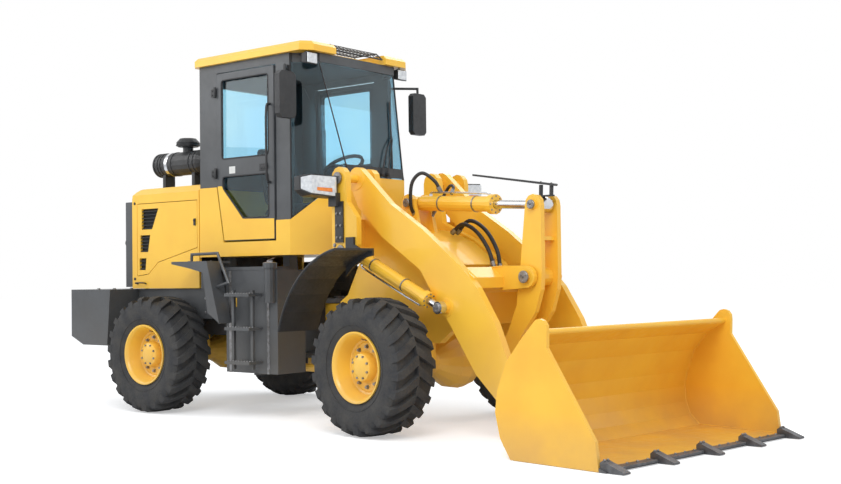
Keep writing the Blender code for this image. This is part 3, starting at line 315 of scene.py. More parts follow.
def boltSet(name, centres, axis, size, height, body, half, material=None):
    bm = joinAll([hexBolt(c, axis, size, height) for c in centres])
    return place(bm, name, material or boltSteel, body, half, angle=25)


def outAxis(sign):
    return "y" if sign > 0 else "-y"


# CAD pieces that stay: finish and softened edges
cadFinish = (
    (charcoalPaint, ("rear_frame", "counterweight", "radiator_grille", "cab_frame", "fuel_tank",
                     "hydraulic_tank", "cab_door_right", "cab_door_left", "rear_fender_right", "rear_fender_left")),
    (yellowPaint, ("hood", "hood_door_right", "hood_door_left", "cab_body", "cab_roof", "rear_axle",
                   "front_axle", "front_frame", "boom", "bellcrank", "bucket_link", "tilt_barrel", "lift_right_barrel",
                   "lift_left_barrel", "steer_barrel_right", "steer_barrel_left")),
    (bucketPaint, ("bucket",)),
    (wearSteel, ("bucket_teeth",)),
    (brightSteel, ("tilt_rod", "lift_right_rod", "lift_left_rod", "steer_rod_right", "steer_rod_left")),
    (blackPlastic, ("steering_console", "air_cleaner", "level_indicator", "mirror_right", "mirror_left",
                    "front_fender_right", "front_fender_left", "headlamp_right", "headlamp_left")),
    (greyCasting, ("engine_block",)),
    (windowGlass, ("windscreen", "rear_window", "door_glass_right", "door_glass_left")),
)
edgeWidth = {"cab_roof": 0.018, "hood": 0.012, "counterweight": 0.02, "boom": 0.004, "bucket": 0.004,
             "cab_body": 0.008, "cab_frame": 0.006, "windscreen": 0.002, "rear_window": 0.002,
             "door_glass_right": 0.002, "door_glass_left": 0.002}
for material, names in cadFinish:
    for name in names:
        node = nodes[name]
        node.data.materials.clear()
        node.data.materials.append(material)
        rounding = node.modifiers.new("rounding", "BEVEL")
        rounding.width, rounding.segments = edgeWidth.get(name, 0.003), 2
        rounding.limit_method, rounding.angle_limit = "ANGLE", math.radians(38)
        rounding.harden_normals = True
        rounding.use_clamp_overlap = True
print("CAD pieces finished")


# Camera, floor and light
camera = {"x": 7.4707, "y": -8.1446, "z": 1.2496, "yaw": 38.606, "pitch": 1.546, "roll": -0.725,
          "lens": 51.21}


def makeCamera(spec):
    yaw, pitch, roll = (math.radians(spec[k]) for k in ("yaw", "pitch", "roll"))
    ahead = Vector((-math.sin(yaw) * math.cos(pitch), math.cos(yaw) * math.cos(pitch), math.sin(pitch)))
    right = Vector((math.cos(yaw), math.sin(yaw), 0))
    up = right.cross(ahead)
    rightRolled = right * math.cos(roll) + up * math.sin(roll)
    upRolled = up * math.cos(roll) - right * math.sin(roll)
    turn = Matrix((rightRolled, upRolled, -ahead)).transposed().to_4x4()
    lensData = bpy.data.cameras.new("viewCamera")
    lensData.lens, lensData.sensor_width = spec["lens"], 36.0
    item = bpy.data.objects.new("viewCamera", lensData)
    item.matrix_world = Matrix.Translation(rearHalf @ Vector((spec["x"], spec["y"], spec["z"]))) @ turn
    bpy.context.collection.objects.link(item)
    bpy.context.scene.camera = item


stage = {"worldLight": 0.75, "floorGlow": 0.42, "floorHalf": 60}


def makeStage(spec):
    bpy.context.scene.view_settings.view_transform = "Standard"
    world = bpy.data.worlds.new("studio")
    bpy.context.scene.world = world
    world.use_nodes = True
    tree = world.node_tree
    tree.nodes.clear()
    light = addNode(tree, "ShaderNodeBackground", Color=(0.93, 0.96, 1.0, 1), Strength=spec["worldLight"])
    white = addNode(tree, "ShaderNodeBackground", Color=(1, 1, 1, 1), Strength=1.0)
    rays = addNode(tree, "ShaderNodeLightPath")
    seen = addNode(tree, "ShaderNodeMath", operation="ADD", use_clamp=True)
    seenToo = addNode(tree, "ShaderNodeMath", operation="ADD", use_clamp=True)
    tree.links.new(rays.outputs["Is Camera Ray"], seen.inputs[0])
    tree.links.new(rays.outputs["Is Glossy Ray"], seen.inputs[1])
    tree.links.new(seen.outputs[0], seenToo.inputs[0])
    tree.links.new(rays.outputs["Is Transmission Ray"], seenToo.inputs[1])
    mixer = addNode(tree, "ShaderNodeMixShader")
    tree.links.new(seenToo.outputs[0], mixer.inputs[0])
    tree.links.new(light.outputs[0], mixer.inputs[1])
    tree.links.new(white.outputs[0], mixer.inputs[2])
    output = addNode(tree, "ShaderNodeOutputWorld")
    tree.links.new(mixer.outputs[0], output.inputs["Surface"])
    floorMesh = bmesh.new()
    bmesh.ops.create_grid(floorMesh, x_segments=1, y_segments=1, size=spec["floorHalf"])
    mesh = bpy.data.meshes.new("floor")
    floorMesh.to_mesh(mesh)
    floorMesh.free()
    floor = bpy.data.objects.new("floor", mesh)
    floor.location.z = cadLow[2] - 0.001
    floorMaterial, floorTree, shader = newMaterial("floorFinish")
    shader.inputs["Base Color"].default_value = (0.86, 0.86, 0.86, 1)
    shader.inputs["Roughness"].default_value = 0.95
    shader.inputs["Specular IOR Level"].default_value = 0.0
    glow = addNode(floorTree, "ShaderNodeEmission", Color=(1, 1, 1, 1))
    floorRays = addNode(floorTree, "ShaderNodeLightPath")
    lift = addNode(floorTree, "ShaderNodeMath", operation="MULTIPLY")
    lift.inputs[1].default_value = spec["floorGlow"]
    floorTree.links.new(floorRays.outputs["Is Camera Ray"], lift.inputs[0])
    floorTree.links.new(lift.outputs[0], glow.inputs["Strength"])
    both = addNode(floorTree, "ShaderNodeAddShader")
    floorTree.links.new(shader.outputs[0], both.inputs[0])
    floorTree.links.new(glow.outputs[0], both.inputs[1])
    floorTree.links.new(both.outputs[0], floorTree.nodes["Material Output"].inputs["Surface"])
    mesh.materials.append(floorMaterial)
    bpy.context.collection.objects.link(floor)
    middle = (cadLow + cadHigh) / 2
    # lamps: place relative to the machine, size, power
    for name, offset, size, power in (("keyLight", (5.5, -7.5, 7.5), 6.0, 620),
                                      ("fillLight", (-8.0, -6.0, 5.0), 7.0, 260),
                                      ("backLight", (-2.0, 9.0, 7.0), 6.0, 260)):
        data = bpy.data.lights.new(name, "AREA")
        data.size, data.energy = size, power
        lamp = bpy.data.objects.new(name, data)
        lamp.location = middle + Vector(offset)
        lamp.rotation_euler = (middle - lamp.location).to_track_quat("-Z", "Y").to_euler()
        bpy.context.collection.objects.link(lamp)


makeCamera(camera)
makeStage(stage)
print("camera and stage ready")


# Wheels
wheelSpec = {"radius": 0.536, "carcassRadius": 0.499, "halfWidth": 0.2015, "lugCount": 22, "nutCount": 10,
             "halfTrack": 0.90}


def tyreMesh(spec):
    half, crown = spec["halfWidth"], spec["carcassRadius"]
    shell = [(0.160, 0.2628), (0.161, 0.286), (0.178, 0.31), (0.192, 0.345), (half, 0.40),
             (half - 0.001, 0.44), (half - 0.008, 0.475), (half - 0.02, 0.492), (half - 0.045, crown)]
    profile = [(-a, r) for a, r in reversed(shell)] + shell
    parts = [lathe(profile, (0, 0, 0), "y", 72, ring=True)]
    # raised rings on the side wall
    for radius in (0.335, 0.425):
        for way in (-1, 1):
            along = way * (half - (0.006 if radius > 0.4 else 0.014))
            parts.append(lathe([(along, radius - 0.004), (along + way * 0.005, radius - 0.003),
                                (along + way * 0.005, radius + 0.003), (along, radius + 0.004)], (0, 0, 0),
                               "y", 72, ring=True))
    # slanted lugs that meet in a chevron at the middle
    for way in (-1, 1):
        for number in range(spec["lugCount"]):
            start = 2 * math.pi * (number + (0.5 if way > 0 else 0)) / spec["lugCount"]
            bm = bmesh.new()
            grid = []
            # rows across the lug: distance from the middle, swing, half length, foot and top radius
            for across, swing, halfLength, foot, top in ((-0.006, 0.0, 0.046, crown - 0.006, spec["radius"]),
                                                         (0.075, 0.10, 0.043, crown - 0.006, spec["radius"]),
                                                         (0.150, 0.19, 0.040, crown - 0.010,
                                                          spec["radius"] - 0.004),
                                                         (half - 0.006, 0.235, 0.038, 0.470, 0.512),
                                                         (half, 0.25, 0.034, 0.445, 0.462)):
                turn = start + swing
                row = []
                for offset, radius in ((-halfLength, foot), (-halfLength * 0.82, top),
                                       (halfLength * 0.82, top),
                                       (halfLength, foot)):
                    a = turn + offset / spec["radius"]
                    row.append(bm.verts.new((math.sin(a) * radius, way * across, math.cos(a) * radius)))
                grid.append(row)
            for a, b in zip(grid, grid[1:]):
                for k in range(4):
                    m = (k + 1) % 4
                    bm.faces.new((a[k], a[m], b[m], b[k]))
            bm.faces.new(grid[0])
            bm.faces.new(grid[-1])
            bmesh.ops.recalc_face_normals(bm, faces=bm.faces)
            parts.append(bm)
    return joinAll(parts)


def rimMesh(side):
    # rows: distance outwards from the wheel's middle plane, radius
    profile = [(0.133, 0.0), (0.133, 0.062), (0.128, 0.072), (0.118, 0.104), (0.100, 0.114), (0.052, 0.120),
               (0.045, 0.132), (0.046, 0.186), (0.038, 0.200), (0.044, 0.216), (0.085, 0.232), (0.145, 0.243),
               (0.170, 0.256), (0.1765, 0.266), (0.1765, 0.2775), (0.1610, 0.2775), (0.1605, 0.2612),
               (-0.1605, 0.2612), (-0.161, 0.2775), (-0.1765, 0.2775), (-0.172, 0.255), (-0.10, 0.245),
               (-0.02, 0.232), (0.0, 0.10), (0.0, 0.0)]
    return lathe([(side * a, r) for a, r in profile], (0, 0, 0), "y", 72)


def makeWheels(spec):
    for end, way in (("rear", -1), ("front", 1)):
        for side, sign in sides.items():
            body = f"wheel_{end}_{side}"
            shift = Matrix.Translation((way * axleX, sign * spec["halfTrack"], axleZ))
            tyre = tyreMesh(spec)
            tyre.transform(shift)
            tyreItem = place(tyre, f"tyre{end.title()}{side.title()}", treadRubber, body, end, angle=38)
            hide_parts(f"tyre_{end}_{side}")
            rim = rimMesh(sign)
            rim.transform(shift)
            rimItem = place(rim, f"rim{end.title()}{side.title()}", yellowPaint, body, end, angle=30)
            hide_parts(f"rim_{end}_{side}")
            outwards = outAxis(sign)
            nuts = []
            for k in range(spec["nutCount"]):
                a = 2 * math.pi * k / spec["nutCount"]
                nuts.append(hexBolt((math.sin(a) * 0.157, sign * 0.045, math.cos(a) * 0.157), outwards, 0.013,
                                    0.024))
            for k in range(8):
                a = 2 * math.pi * (k + 0.5) / 8
                nuts.append(hexBolt((math.sin(a) * 0.088, sign * 0.122, math.cos(a) * 0.088), outwards, 0.008,
                                    0.012))
            nutMesh = joinAll(nuts)
            nutMesh.transform(shift)
            place(nutMesh, f"wheelNuts{end.title()}{side.title()}", boltSteel, body, end, angle=25)
            valve = tubeAlong([(0.0, sign * 0.05, 0.205), (0.0, sign * 0.085, 0.212),
                               (0.0, sign * 0.105, 0.217)], 0.005)
            valve.transform(shift)
            place(valve, f"valve{end.title()}{side.title()}", boltSteel, body, end)


makeWheels(wheelSpec)
print("wheels done")


# Cab glass, doors and trim
cabSpec = {"halfWidth": 0.70, "frontX": 0.47, "topZ": 3.13, "footZ": 2.128, "creaseTopX": 0.255,
           "creaseTopY": 0.505, "creaseFootY": 0.375, "gasket": 0.007, "wiperRadius": 0.006}
# door outlines, columns: x, z
doorYellow = [(-0.857, 2.082), (-0.802, 2.082), (-0.525, 1.772), (-0.122, 1.760), (-0.122, 1.582),
              (-0.770, 1.582)]
upperPane = [(-0.80, 2.33), (-0.19, 2.33), (-0.19, 3.055), (-0.80, 3.055)]
lowerPane = [(-0.79, 2.165), (-0.19, 2.165), (-0.19, 1.778), (-0.518, 1.778), (-0.79, 2.064)]


def roundedLoop(outline, radius, steps=4):
    # outline with its corners rounded
    result = []
    for i, point in enumerate(outline):
        here = Vector(point)
        before, after = Vector(outline[i - 1]) - here, Vector(outline[(i + 1) % len(outline)]) - here
        a = here + before.normalized() * min(radius, before.length / 2.2)
        b = here + after.normalized() * min(radius, after.length / 2.2)
        for k in range(steps + 1):
            t = k / steps
            result.append(tuple(a * (1 - t) ** 2 + here * 2 * t * (1 - t) + b * t * t))
    return result


def loopTube(points, radius, count=6):
    points = [Vector(p) for p in points]
    bm = bmesh.new()
    rings = []
    middle = sum(points, Vector()) / len(points)
    for i, point in enumerate(points):
        ahead = (points[(i + 1) % len(points)] - points[i - 1]).normalized()
        away = point - middle
        away = (away - ahead * away.dot(ahead)).normalized()
        up = ahead.cross(away)
        rings.append([bm.verts.new(point + (away * math.cos(a) + up * math.sin(a)) * radius)
                      for a in (2 * math.pi * k / count for k in range(count))])
    for i, a in enumerate(rings):
        b = rings[(i + 1) % len(rings)]
        for k in range(count):
            m = (k + 1) % count
            bm.faces.new((a[k], a[m], b[m], b[k]))
    bmesh.ops.recalc_face_normals(bm, faces=bm.faces)
    return bm


def makeCabTrim(spec):
    for side, sign in sides.items():
        face = sign * spec["halfWidth"]
        body = f"cab_door_{side}"
        skin = plate(doorYellow, *sorted((face + sign * 0.0004, face + sign * 0.003)))
        place(skin, f"doorLowerPanel{side.title()}", yellowPaint, body, bevel=0.0012)
        seals = []
        for pane in (upperPane, lowerPane):
            loop = roundedLoop(pane, 0.035)
            seals.append(loopTube([(x, face - sign * 0.001, z) for x, z in loop], spec["gasket"]))
        place(joinAll(seals), f"doorSeals{side.title()}", hoseRubber, body)
        rail = smoothPath([(-0.165, face, 2.78), (-0.165, face + sign * 0.045, 2.74),
                           (-0.165, face + sign * 0.05, 2.42), (-0.165, face + sign * 0.045, 2.12),
                           (-0.165, face, 2.08)])
        place(tubeAlong(rail, 0.011, 12), f"doorGrabRail{side.title()}", blackPlastic, body)
        lock = joinAll([block((-0.30, -0.20), (face, face + sign * 0.010), (2.195, 2.255)),
                        lathe([(0, 0.018), (sign * 0.016, 0.016)], (-0.275, face, 2.225), "y", 24),
                        block((-0.255, -0.205), (face + sign * 0.010, face + sign * 0.024), (2.212, 2.238))])
        place(lock, f"doorLock{side.title()}", blackPlastic, body, bevel=0.003)
        blank = block((-0.70, -0.62), (face, face + sign * 0.002), (2.19, 2.255))
        place(blank, f"doorBlankPlate{side.title()}", whiteLabel, body, bevel=0.001)
        hinges = []
        for z in (2.95, 2.20):
            hinges.append(lathe([(z - 0.05, 0.012), (z - 0.048, 0.013), (z + 0.048, 0.013),
                                 (z + 0.05, 0.012)],
                                (-0.873, face + sign * 0.013, 0), "z", 20))
            hinges.append(block((-0.935, -0.876), (face - sign * 0.008, face + sign * 0.006),
                                (z - 0.035, z + 0.035)))
            hinges.append(hexBolt((-0.918, face + sign * 0.006, z + 0.018), outAxis(sign), 0.006, 0.006))
            hinges.append(hexBolt((-0.918, face + sign * 0.006, z - 0.018), outAxis(sign), 0.006, 0.006))
        place(joinAll(hinges), f"doorHinges{side.title()}", blackPlastic, "rear_chassis", bevel=0.0015)
        # seal strip down the bend of the glass, and round the side light
        crease = tubeAlong([(spec["creaseTopX"] + 0.004, sign * (spec["creaseTopY"] + 0.001),
                             spec["topZ"] - 0.01),
                            (spec["frontX"] + 0.004, sign * spec["creaseFootY"], spec["footZ"])], 0.005, 8)
        sideSeal = tubeAlong([(0.072, sign * 0.682, spec["topZ"] - 0.01), (0.072, sign * 0.682, 1.765),
                              (spec["frontX"] + 0.002, sign * (spec["creaseFootY"] + 0.004),
                               spec["footZ"] - 0.004)], 0.008, 8)
        place(joinAll([crease, sideSeal]), f"screenSeal{side.title()}", hoseRubber, "rear_chassis")
        # work lamp under the roof's front corner
        lampParts = [plate([(0.215, 3.105), (0.275, 3.095), (0.275, 3.197), (0.215, 3.187)],
                           *sorted((sign * 0.55, sign * 0.685))),
                     tubeAlong([(0.24, sign * 0.617, 3.18), (0.24, sign * 0.617, 3.212)], 0.009, 8)]
        place(joinAll(lampParts), f"workLamp{side.title()}", blackPlastic, "rear_chassis", bevel=0.008)
        lens = block((0.276, 0.284), sorted((sign * 0.557, sign * 0.678)), (3.102, 3.190))
        place(lens, f"workLampLens{side.title()}", lampLens, "rear_chassis", bevel=0.006)
        # mirror glass in its shell, facing back
        glass = plate(roundedLoop([(sign * 0.815, 2.625), (sign * 0.985, 2.625), (sign * 0.985, 2.985),
                                   (sign * 0.815, 2.985)], 0.03), 0.1975, 0.2005, "yz")
        place(glass, f"mirrorGlass{side.title()}", mirrorFace, "rear_chassis")
    # black band along the foot of the screen, with the wiper on it
    foot = spec["footZ"]
    slope = (spec["frontX"] - spec["creaseTopX"]) / (spec["topZ"] - foot)
    front, bandTop = spec["frontX"], spec["frontX"] - slope * 0.09
    band = plate([(front + 0.007, foot + 0.002), (bandTop + 0.009, foot + 0.092),
                  (bandTop + 0.006, foot + 0.092), (front + 0.004, foot + 0.002)],
                 -spec["creaseFootY"] - 0.008, spec["creaseFootY"] + 0.008)
    place(band, "screenBand", blackPlastic, "rear_chassis")

    def onScreen(y, z, out):
        return spec["frontX"] - slope * (z - foot) + out, y, z

    wiper = [tubeAlong([onScreen(0.06, foot + 0.03, 0.02), onScreen(0.19, 2.40, 0.028),
                        onScreen(0.30, 2.52, 0.022)],
                       spec["wiperRadius"], 8),
             tubeAlong([onScreen(0.14, foot + 0.03, 0.02), onScreen(0.25, 2.40, 0.028),
                        onScreen(0.30, 2.50, 0.022)],
                       spec["wiperRadius"], 8),
             tubeAlong([onScreen(0.235, 2.22, 0.010), onScreen(0.30, 2.52, 0.012),
                        onScreen(0.365, 2.86, 0.010)], 0.008, 8)]
    for y in (0.06, 0.14):
        wiper.append(lathe([(0, 0.02), (0.025, 0.018), (0.03, 0.01)],
                           (spec["frontX"] + 0.004, y, foot + 0.03), "x", 16))
    place(joinAll(wiper), "wiper", hoseRubber, "rear_chassis")
    # wire guard over the notch in the roof's front edge; spans are across the machine
    top, halfSpan = 3.3125, 0.312
    path = [(-0.05, 3.238), (-0.05, top), (0.08, top), (0.215, top), (0.288, top - 0.062)]
    wires = [tubeAlong([(x, -halfSpan, z), (x, halfSpan, z)], 0.007, 8) for x,
             z in (path[0], path[1], path[-1])]
    wires += [tubeAlong([(x, y, z) for x, z in path], 0.007, 8) for y in (-halfSpan, halfSpan)]
    wires += [tubeAlong([(x, -halfSpan, z), (x, halfSpan, z)], 0.003, 6)
              for x, z in ((-0.005, top), (0.04, top), (0.085, top), (0.13, top), (0.175, top), (0.217, top),
                           (0.253, top - 0.03))]
    wires += [tubeAlong([(x, -halfSpan + 2 * halfSpan * k / 13, z) for x, z in path], 0.003, 6)
              for k in range(1, 13)]
    guard = place(joinAll(wires), "roofGuardWires", blackPlastic, "rear_chassis")
    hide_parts("roof_guard")


makeCabTrim(cabSpec)
print("cab trim done")


# Inside the cab
seatSpec = {"width": 0.50, "depth": 0.50, "cushionHeight": 0.13, "cushionZ": 1.86, "x": -0.47,
            "backHeight": 0.56, "backThick": 0.13, "backLean": 13, "channels": 4}


def cushionMesh(width, length, thick, channels, count=28):
    # crowned pad in XY, thickness along Z, with sewn channels along its length and pulled-in sides
    bm = bmesh.new()
    layers = []
    for top in (1, -1):
        grid = []
        for i in range(count + 1):
            row = []
            u = -1 + 2 * i / count
            for j in range(count + 1):
                v = -1 + 2 * j / count
                edge = max(0.0, 1 - abs(u) ** 4) ** 0.5 * max(0.0, 1 - abs(v) ** 4) ** 0.5
                pull = 1 - 0.035 * (1 - abs(v) ** 2) * abs(u) ** 6 - 0.02 * (1 - abs(u) ** 2) * abs(v) ** 6
                x = u * width / 2 * pull * (1 - 0.05 * abs(v) ** 8)
                y = v * length / 2 * pull * (1 - 0.05 * abs(u) ** 8)
                groove = 0.0
                if top > 0:
                    phase = (u + 1) / 2 * channels
                    near = abs(phase - round(phase))
                    inside = 1 if 0 < round(phase) < channels else 0
                    groove = 0.013 * math.exp(-(near / 0.07) ** 2) * inside * edge
                z = top * (thick / 2) * (0.35 + 0.65 * edge if top > 0 else 0.55 + 0.45 * edge) - groove
                row.append(bm.verts.new((x, y, z)))
            grid.append(row)
        layers.append(grid)
    for number, grid in enumerate(layers):
        for i in range(count):
            for j in range(count):
                quad = (grid[i][j], grid[i + 1][j], grid[i + 1][j + 1], grid[i][j + 1])
                bm.faces.new(quad if number == 0 else quad[::-1])
    upper, lower = layers
    ring = ([(i, 0) for i in range(count)] + [(count, j) for j in range(count)]
            + [(i, count) for i in range(count, 0, -1)] + [(0, j) for j in range(count, 0, -1)])
    for k, (i, j) in enumerate(ring):
        m, n = ring[(k + 1) % len(ring)]
        bm.faces.new((upper[i][j], lower[i][j], lower[m][n], upper[m][n]))
    bmesh.ops.recalc_face_normals(bm, faces=bm.faces)
    return bm, [(u.co.copy() + l.co) / 2 for u, l in ((upper[i][j], lower[i][j]) for i, j in ring)]


def makeSeat(spec):
    pads = []
    lay = Matrix.Translation((spec["x"], 0, spec["cushionZ"])) @ Matrix.Rotation(math.radians(-4), 4, "Y") @ \
        Matrix.Rotation(math.radians(90), 4, "Z")
    stand = Matrix.Translation((spec["x"] - 0.27, 0, spec["cushionZ"] + 0.33)) @ \
        Matrix.Rotation(math.radians(90 - spec["backLean"]), 4, "Y") @ Matrix.Rotation(math.radians(90), 4,
                                                                                       "Z")
    for name, width, length, thick, where in (("seatCushion", spec["width"], spec["depth"],
                                               spec["cushionHeight"], lay),
                                              ("seatBackrest", spec["width"] * 0.94, spec["backHeight"],
                                               spec["backThick"],
                                               stand)):
        bm, seam = cushionMesh(width, length, thick, spec["channels"])
        bm.transform(where)
        piping = loopTube([where @ p for p in seam[::2]], 0.006)
        item = place(bm, name, seatCover, "rear_chassis", angle=60)
        smoother = item.modifiers.new("smoother", "SUBSURF")
        smoother.levels = smoother.render_levels = 1
        place(piping, name + "Piping", hoseRubber, "rear_chassis")
        pads.append(item)
    pedestal = joinAll([block((spec["x"] - 0.15, spec["x"] + 0.15), (-0.17, 0.17), (1.4745, 1.66)),
                        plate([(spec["x"] - 0.20, 1.78), (spec["x"] + 0.20, 1.79), (spec["x"] + 0.16, 1.66),
                               (spec["x"] - 0.16, 1.66)], -0.19, 0.19)])
    base = place(pedestal, "seatPedestal", blackPlastic, "rear_chassis", bevel=0.012)
    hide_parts("operator_seat")
    for number in range(5):
        z = 1.675 + number * 0.021
        ring = loopTube([(x, y, z) for x, y in roundedLoop([(spec["x"] - 0.165, -0.18),
                                                            (spec["x"] + 0.165, -0.18),
                                                            (spec["x"] + 0.165, 0.18),
                                                            (spec["x"] - 0.165, 0.18)], 0.05)],
                        0.012)
        place(ring, f"seatBellows{number}", hoseRubber, "rear_chassis")
    rests = joinAll([block((spec["x"] - 0.17, spec["x"] + 0.13), (sign * 0.255, sign * 0.31), (2.07, 2.115))
                     for sign in (-1, 1)])
    place(rests, "seatArmrests", seatCover, "rear_chassis", bevel=0.018)


def makeControls():
    levers = []
    for number, y in enumerate((-0.40, -0.46, -0.52)):
        path = smoothPath([(-0.20, y, 1.76), (-0.19, y, 1.95), (-0.15, y, 2.08)])
        levers.append(tubeAlong(path, 0.008, 10))
        levers.append(lathe([(2.07, 0.012), (2.085, 0.022), (2.115, 0.024), (2.13, 0.012)], (-0.148, y, 0),
                            "z", 20))
    console = plate([(-0.34, 1.4745), (-0.10, 1.4745), (-0.12, 1.76), (-0.32, 1.78)], -0.56, -0.36)
    place(console, "leverConsole", blackPlastic, "rear_chassis", bevel=0.015)
    place(joinAll(levers), "controlLevers", boltSteel, "rear_chassis")
    dash = plate([(0.30, 2.03), (0.42, 2.05), (0.42, 2.13), (0.33, 2.17), (0.27, 2.10)], -0.26, 0.26)
    place(dash, "dashPanel", blackPlastic, "rear_chassis", bevel=0.012)
    gauges = []
    for number, y in enumerate((-0.16, -0.06, 0.04, 0.14)):
        gauges.append(lathe([(0, 0.034), (0.006, 0.034), (0.008, 0.028), (0.004, 0.0)], (0, 0, 0), "z", 24))
        gauges[-1].transform(Matrix.Translation((0.295, y, 2.135)) @ Matrix.Rotation(math.radians(-48), 4,
                                                                                     "Y"))
    place(joinAll(gauges), "dashGauges", lampLens, "rear_chassis")
    pedals = []
    for y in (-0.16, 0.16):
        pad = block((0.02, 0.12), (y - 0.035, y + 0.035), (0, 0.012))
        pad.transform(Matrix.Translation((0.05, 0, 1.55)) @ Matrix.Rotation(math.radians(-35), 4, "Y"))
        pedals.append(pad)
    place(joinAll(pedals), "footPedals", hoseRubber, "rear_chassis", bevel=0.004)
    place(block((-1.0, 0.02), (-0.62, 0.62), (1.4742, 1.482)), "floorMat", hoseRubber, "rear_chassis",
          bevel=0.003)
    place(block((-1.02, 0.18), (-0.62, 0.62), (3.185, 3.205)), "roofLining", seatCover, "rear_chassis",
          bevel=0.006)


makeSeat(seatSpec)
makeControls()
print("cab inside done")


# Hood, grille, air cleaner, counterweight
hoodSpec = {"halfWidth": 0.70, "slatPitch": 0.03, "slatTilt": 0.008}
# vents, columns: left x, top right x, low right x, top z, low z
ventRows = ((-1.965, -1.71, -1.805, 1.92, 1.72), (-1.985, -1.835, -1.868, 1.665, 1.50),
            (-2.0, -1.895, -1.908, 1.44, 1.325))


def makeHoodTrim(spec):
    for side, sign in sides.items():
        inner, face = sign * (spec["halfWidth"] - 0.0315), sign * spec["halfWidth"]
        backing, slats = [], []
        for left, topRight, lowRight, top, low in ventRows:
            backing.append(plate([(left - 0.01, top + 0.01), (topRight + 0.012, top + 0.01),
                                  (lowRight + 0.012, low - 0.01),
                                  (left - 0.01, low - 0.01)], *sorted((inner, inner + sign * 0.003))))
            count = int((top - low) / spec["slatPitch"])
            for k in range(count):
                z = low + (k + 0.5) * (top - low) / count
                share = (z - low) / (top - low)
                right = lowRight + (topRight - lowRight) * share
                slat = plate([(sign * 0.674, z - 0.004), (sign * 0.676, z + 0.004),
                              (sign * 0.696, z - spec["slatTilt"] + 0.003),
                              (sign * 0.694, z - spec["slatTilt"] - 0.004)],
                             left + 0.001, right - 0.002, "yz")
                slats.append(slat)
        place(joinAll(backing), f"ventBacking{side.title()}", darkMesh, f"hood_door_{side}")
        place(joinAll(slats), f"ventSlats{side.title()}", blackPlastic, f"hood_door_{side}")
        latch = joinAll([block((-1.19, -1.165), (face, face + sign * 0.012), (1.735, 1.80)),
                         lathe([(0, 0.013), (sign * 0.018, 0.012)], (-1.177, face, 1.782), "y", 16)])
        place(latch, f"hoodLatch{side.title()}", blackPlastic, f"hood_door_{side}", bevel=0.003)
        ports = [lathe([(0, 0.014), (sign * 0.004, 0.014), (sign * 0.008, 0.009), (sign * 0.008, 0)],
                       (-2.07, face, z), "y", 20)
                 for z in (1.24, 1.98)]
        place(joinAll(ports), f"hoodPlugs{side.title()}", blackPlastic, "rear_chassis")
        grab = smoothPath([(-2.02, face, 1.19), (-2.02, face + sign * 0.035, 1.20),
                           (-1.90, face + sign * 0.035, 1.20), (-1.90, face, 1.19)], 5)
        place(tubeAlong(grab, 0.007, 8), f"hoodGrab{side.title()}", blackPlastic, "rear_chassis")
        lampBack = lathe([(0, 0.04), (-0.02, 0.045), (-0.028, 0.042)], (-2.25, sign * 0.615, 1.60), "x", 24)
        place(lampBack, f"tailLampBase{side.title()}", blackPlastic, "rear_chassis")
        lens = lathe([(0, 0.038), (-0.008, 0.036), (-0.013, 0.02), (-0.014, 0)], (-2.277, sign * 0.615, 1.60),
                     "x", 24)
        place(lens, f"tailLampLens{side.title()}", redLens, "rear_chassis")
    grid = []
    for row in range(17):
        z = 1.30 + row * 0.036
        grid.append(block((-2.168, -2.163), (-0.555, 0.555), (z, z + 0.004)))
    for column in range(31):
        y = -0.54 + column * 0.036
        grid.append(block((-2.1635, -2.160), (y, y + 0.004), (1.285, 1.895)))
    place(joinAll(grid), "grilleMesh", boltSteel, "rear_chassis")
    place(block((-2.09, -2.075), (-0.60, 0.60), (1.24, 1.94)), "radiatorCore", darkMesh, "rear_chassis")
    # top: panel line and exhaust
    place(block((-2.02, -1.18), (-0.02, -0.012), (2.117, 2.1225)), "hoodSeam", blackPlastic, "rear_chassis")
    pipe = joinAll([lathe([(2.11, 0.055), (2.125, 0.055), (2.127, 0.036), (2.42, 0.036), (2.42, 0.031),
                           (2.2, 0.031)],
                          (-1.55, 0.42, 0), "z", 28),
                    lathe([(2.16, 0.05), (2.165, 0.052), (2.34, 0.052), (2.345, 0.05)], (-1.55, 0.42, 0), "z",
                          28)])
    place(pipe, "exhaustPipe", greyCasting, "rear_chassis")
    boltSet("counterweightBolts", [(x, y, 1.14) for x in (-2.2, -2.45) for y in (-0.85, -0.45, 0.45, 0.85)],
            "z", 0.016, 0.012, "rear_chassis", "rear")
    boltSet("grilleBolts", [(-2.25, y, z) for y in (-0.62, 0.62) for z in (1.22, 1.94)], "-x", 0.009, 0.008,
            "rear_chassis", "rear")


def makeAirCleaner():
    y, z = -0.45, 2.36
    bands = []
    for x in (-1.95, -1.90, -1.86, -1.70, -1.44, -1.38):
        bands.append(lathe([(x - 0.010, 0.114), (x - 0.008, 0.1195), (x + 0.008, 0.1195), (x + 0.010, 0.114)],
                           (0, y, z), "x", 48, ring=False))
    place(joinAll(bands), "airCleanerBands", blackPlastic, "rear_chassis")
    place(lathe([(-1.79, 0.116), (-1.788, 0.1185), (-1.752, 0.1185), (-1.75, 0.116)], (0, y, z), "x", 48),
          "airCleanerClamp", brightSteel, "rear_chassis")
    elbow = smoothPath([(-1.32, y, z), (-1.22, y, z - 0.01), (-1.16, y + 0.02, z - 0.10),
                        (-1.155, y + 0.03, 2.12)], 6)
    place(tubeAlong(elbow, 0.04, 16), "intakeHose", hoseRubber, "rear_chassis")
    ribs = [lathe([(2.53 + k * 0.012, 0.118 - 0.004 * k), (2.536 + k * 0.012, 0.118 - 0.004 * k)],
                  (-1.56, y, 0), "z", 40)
            for k in range(4)]
    place(joinAll(ribs), "intakeCapRibs", blackPlastic, "rear_chassis")


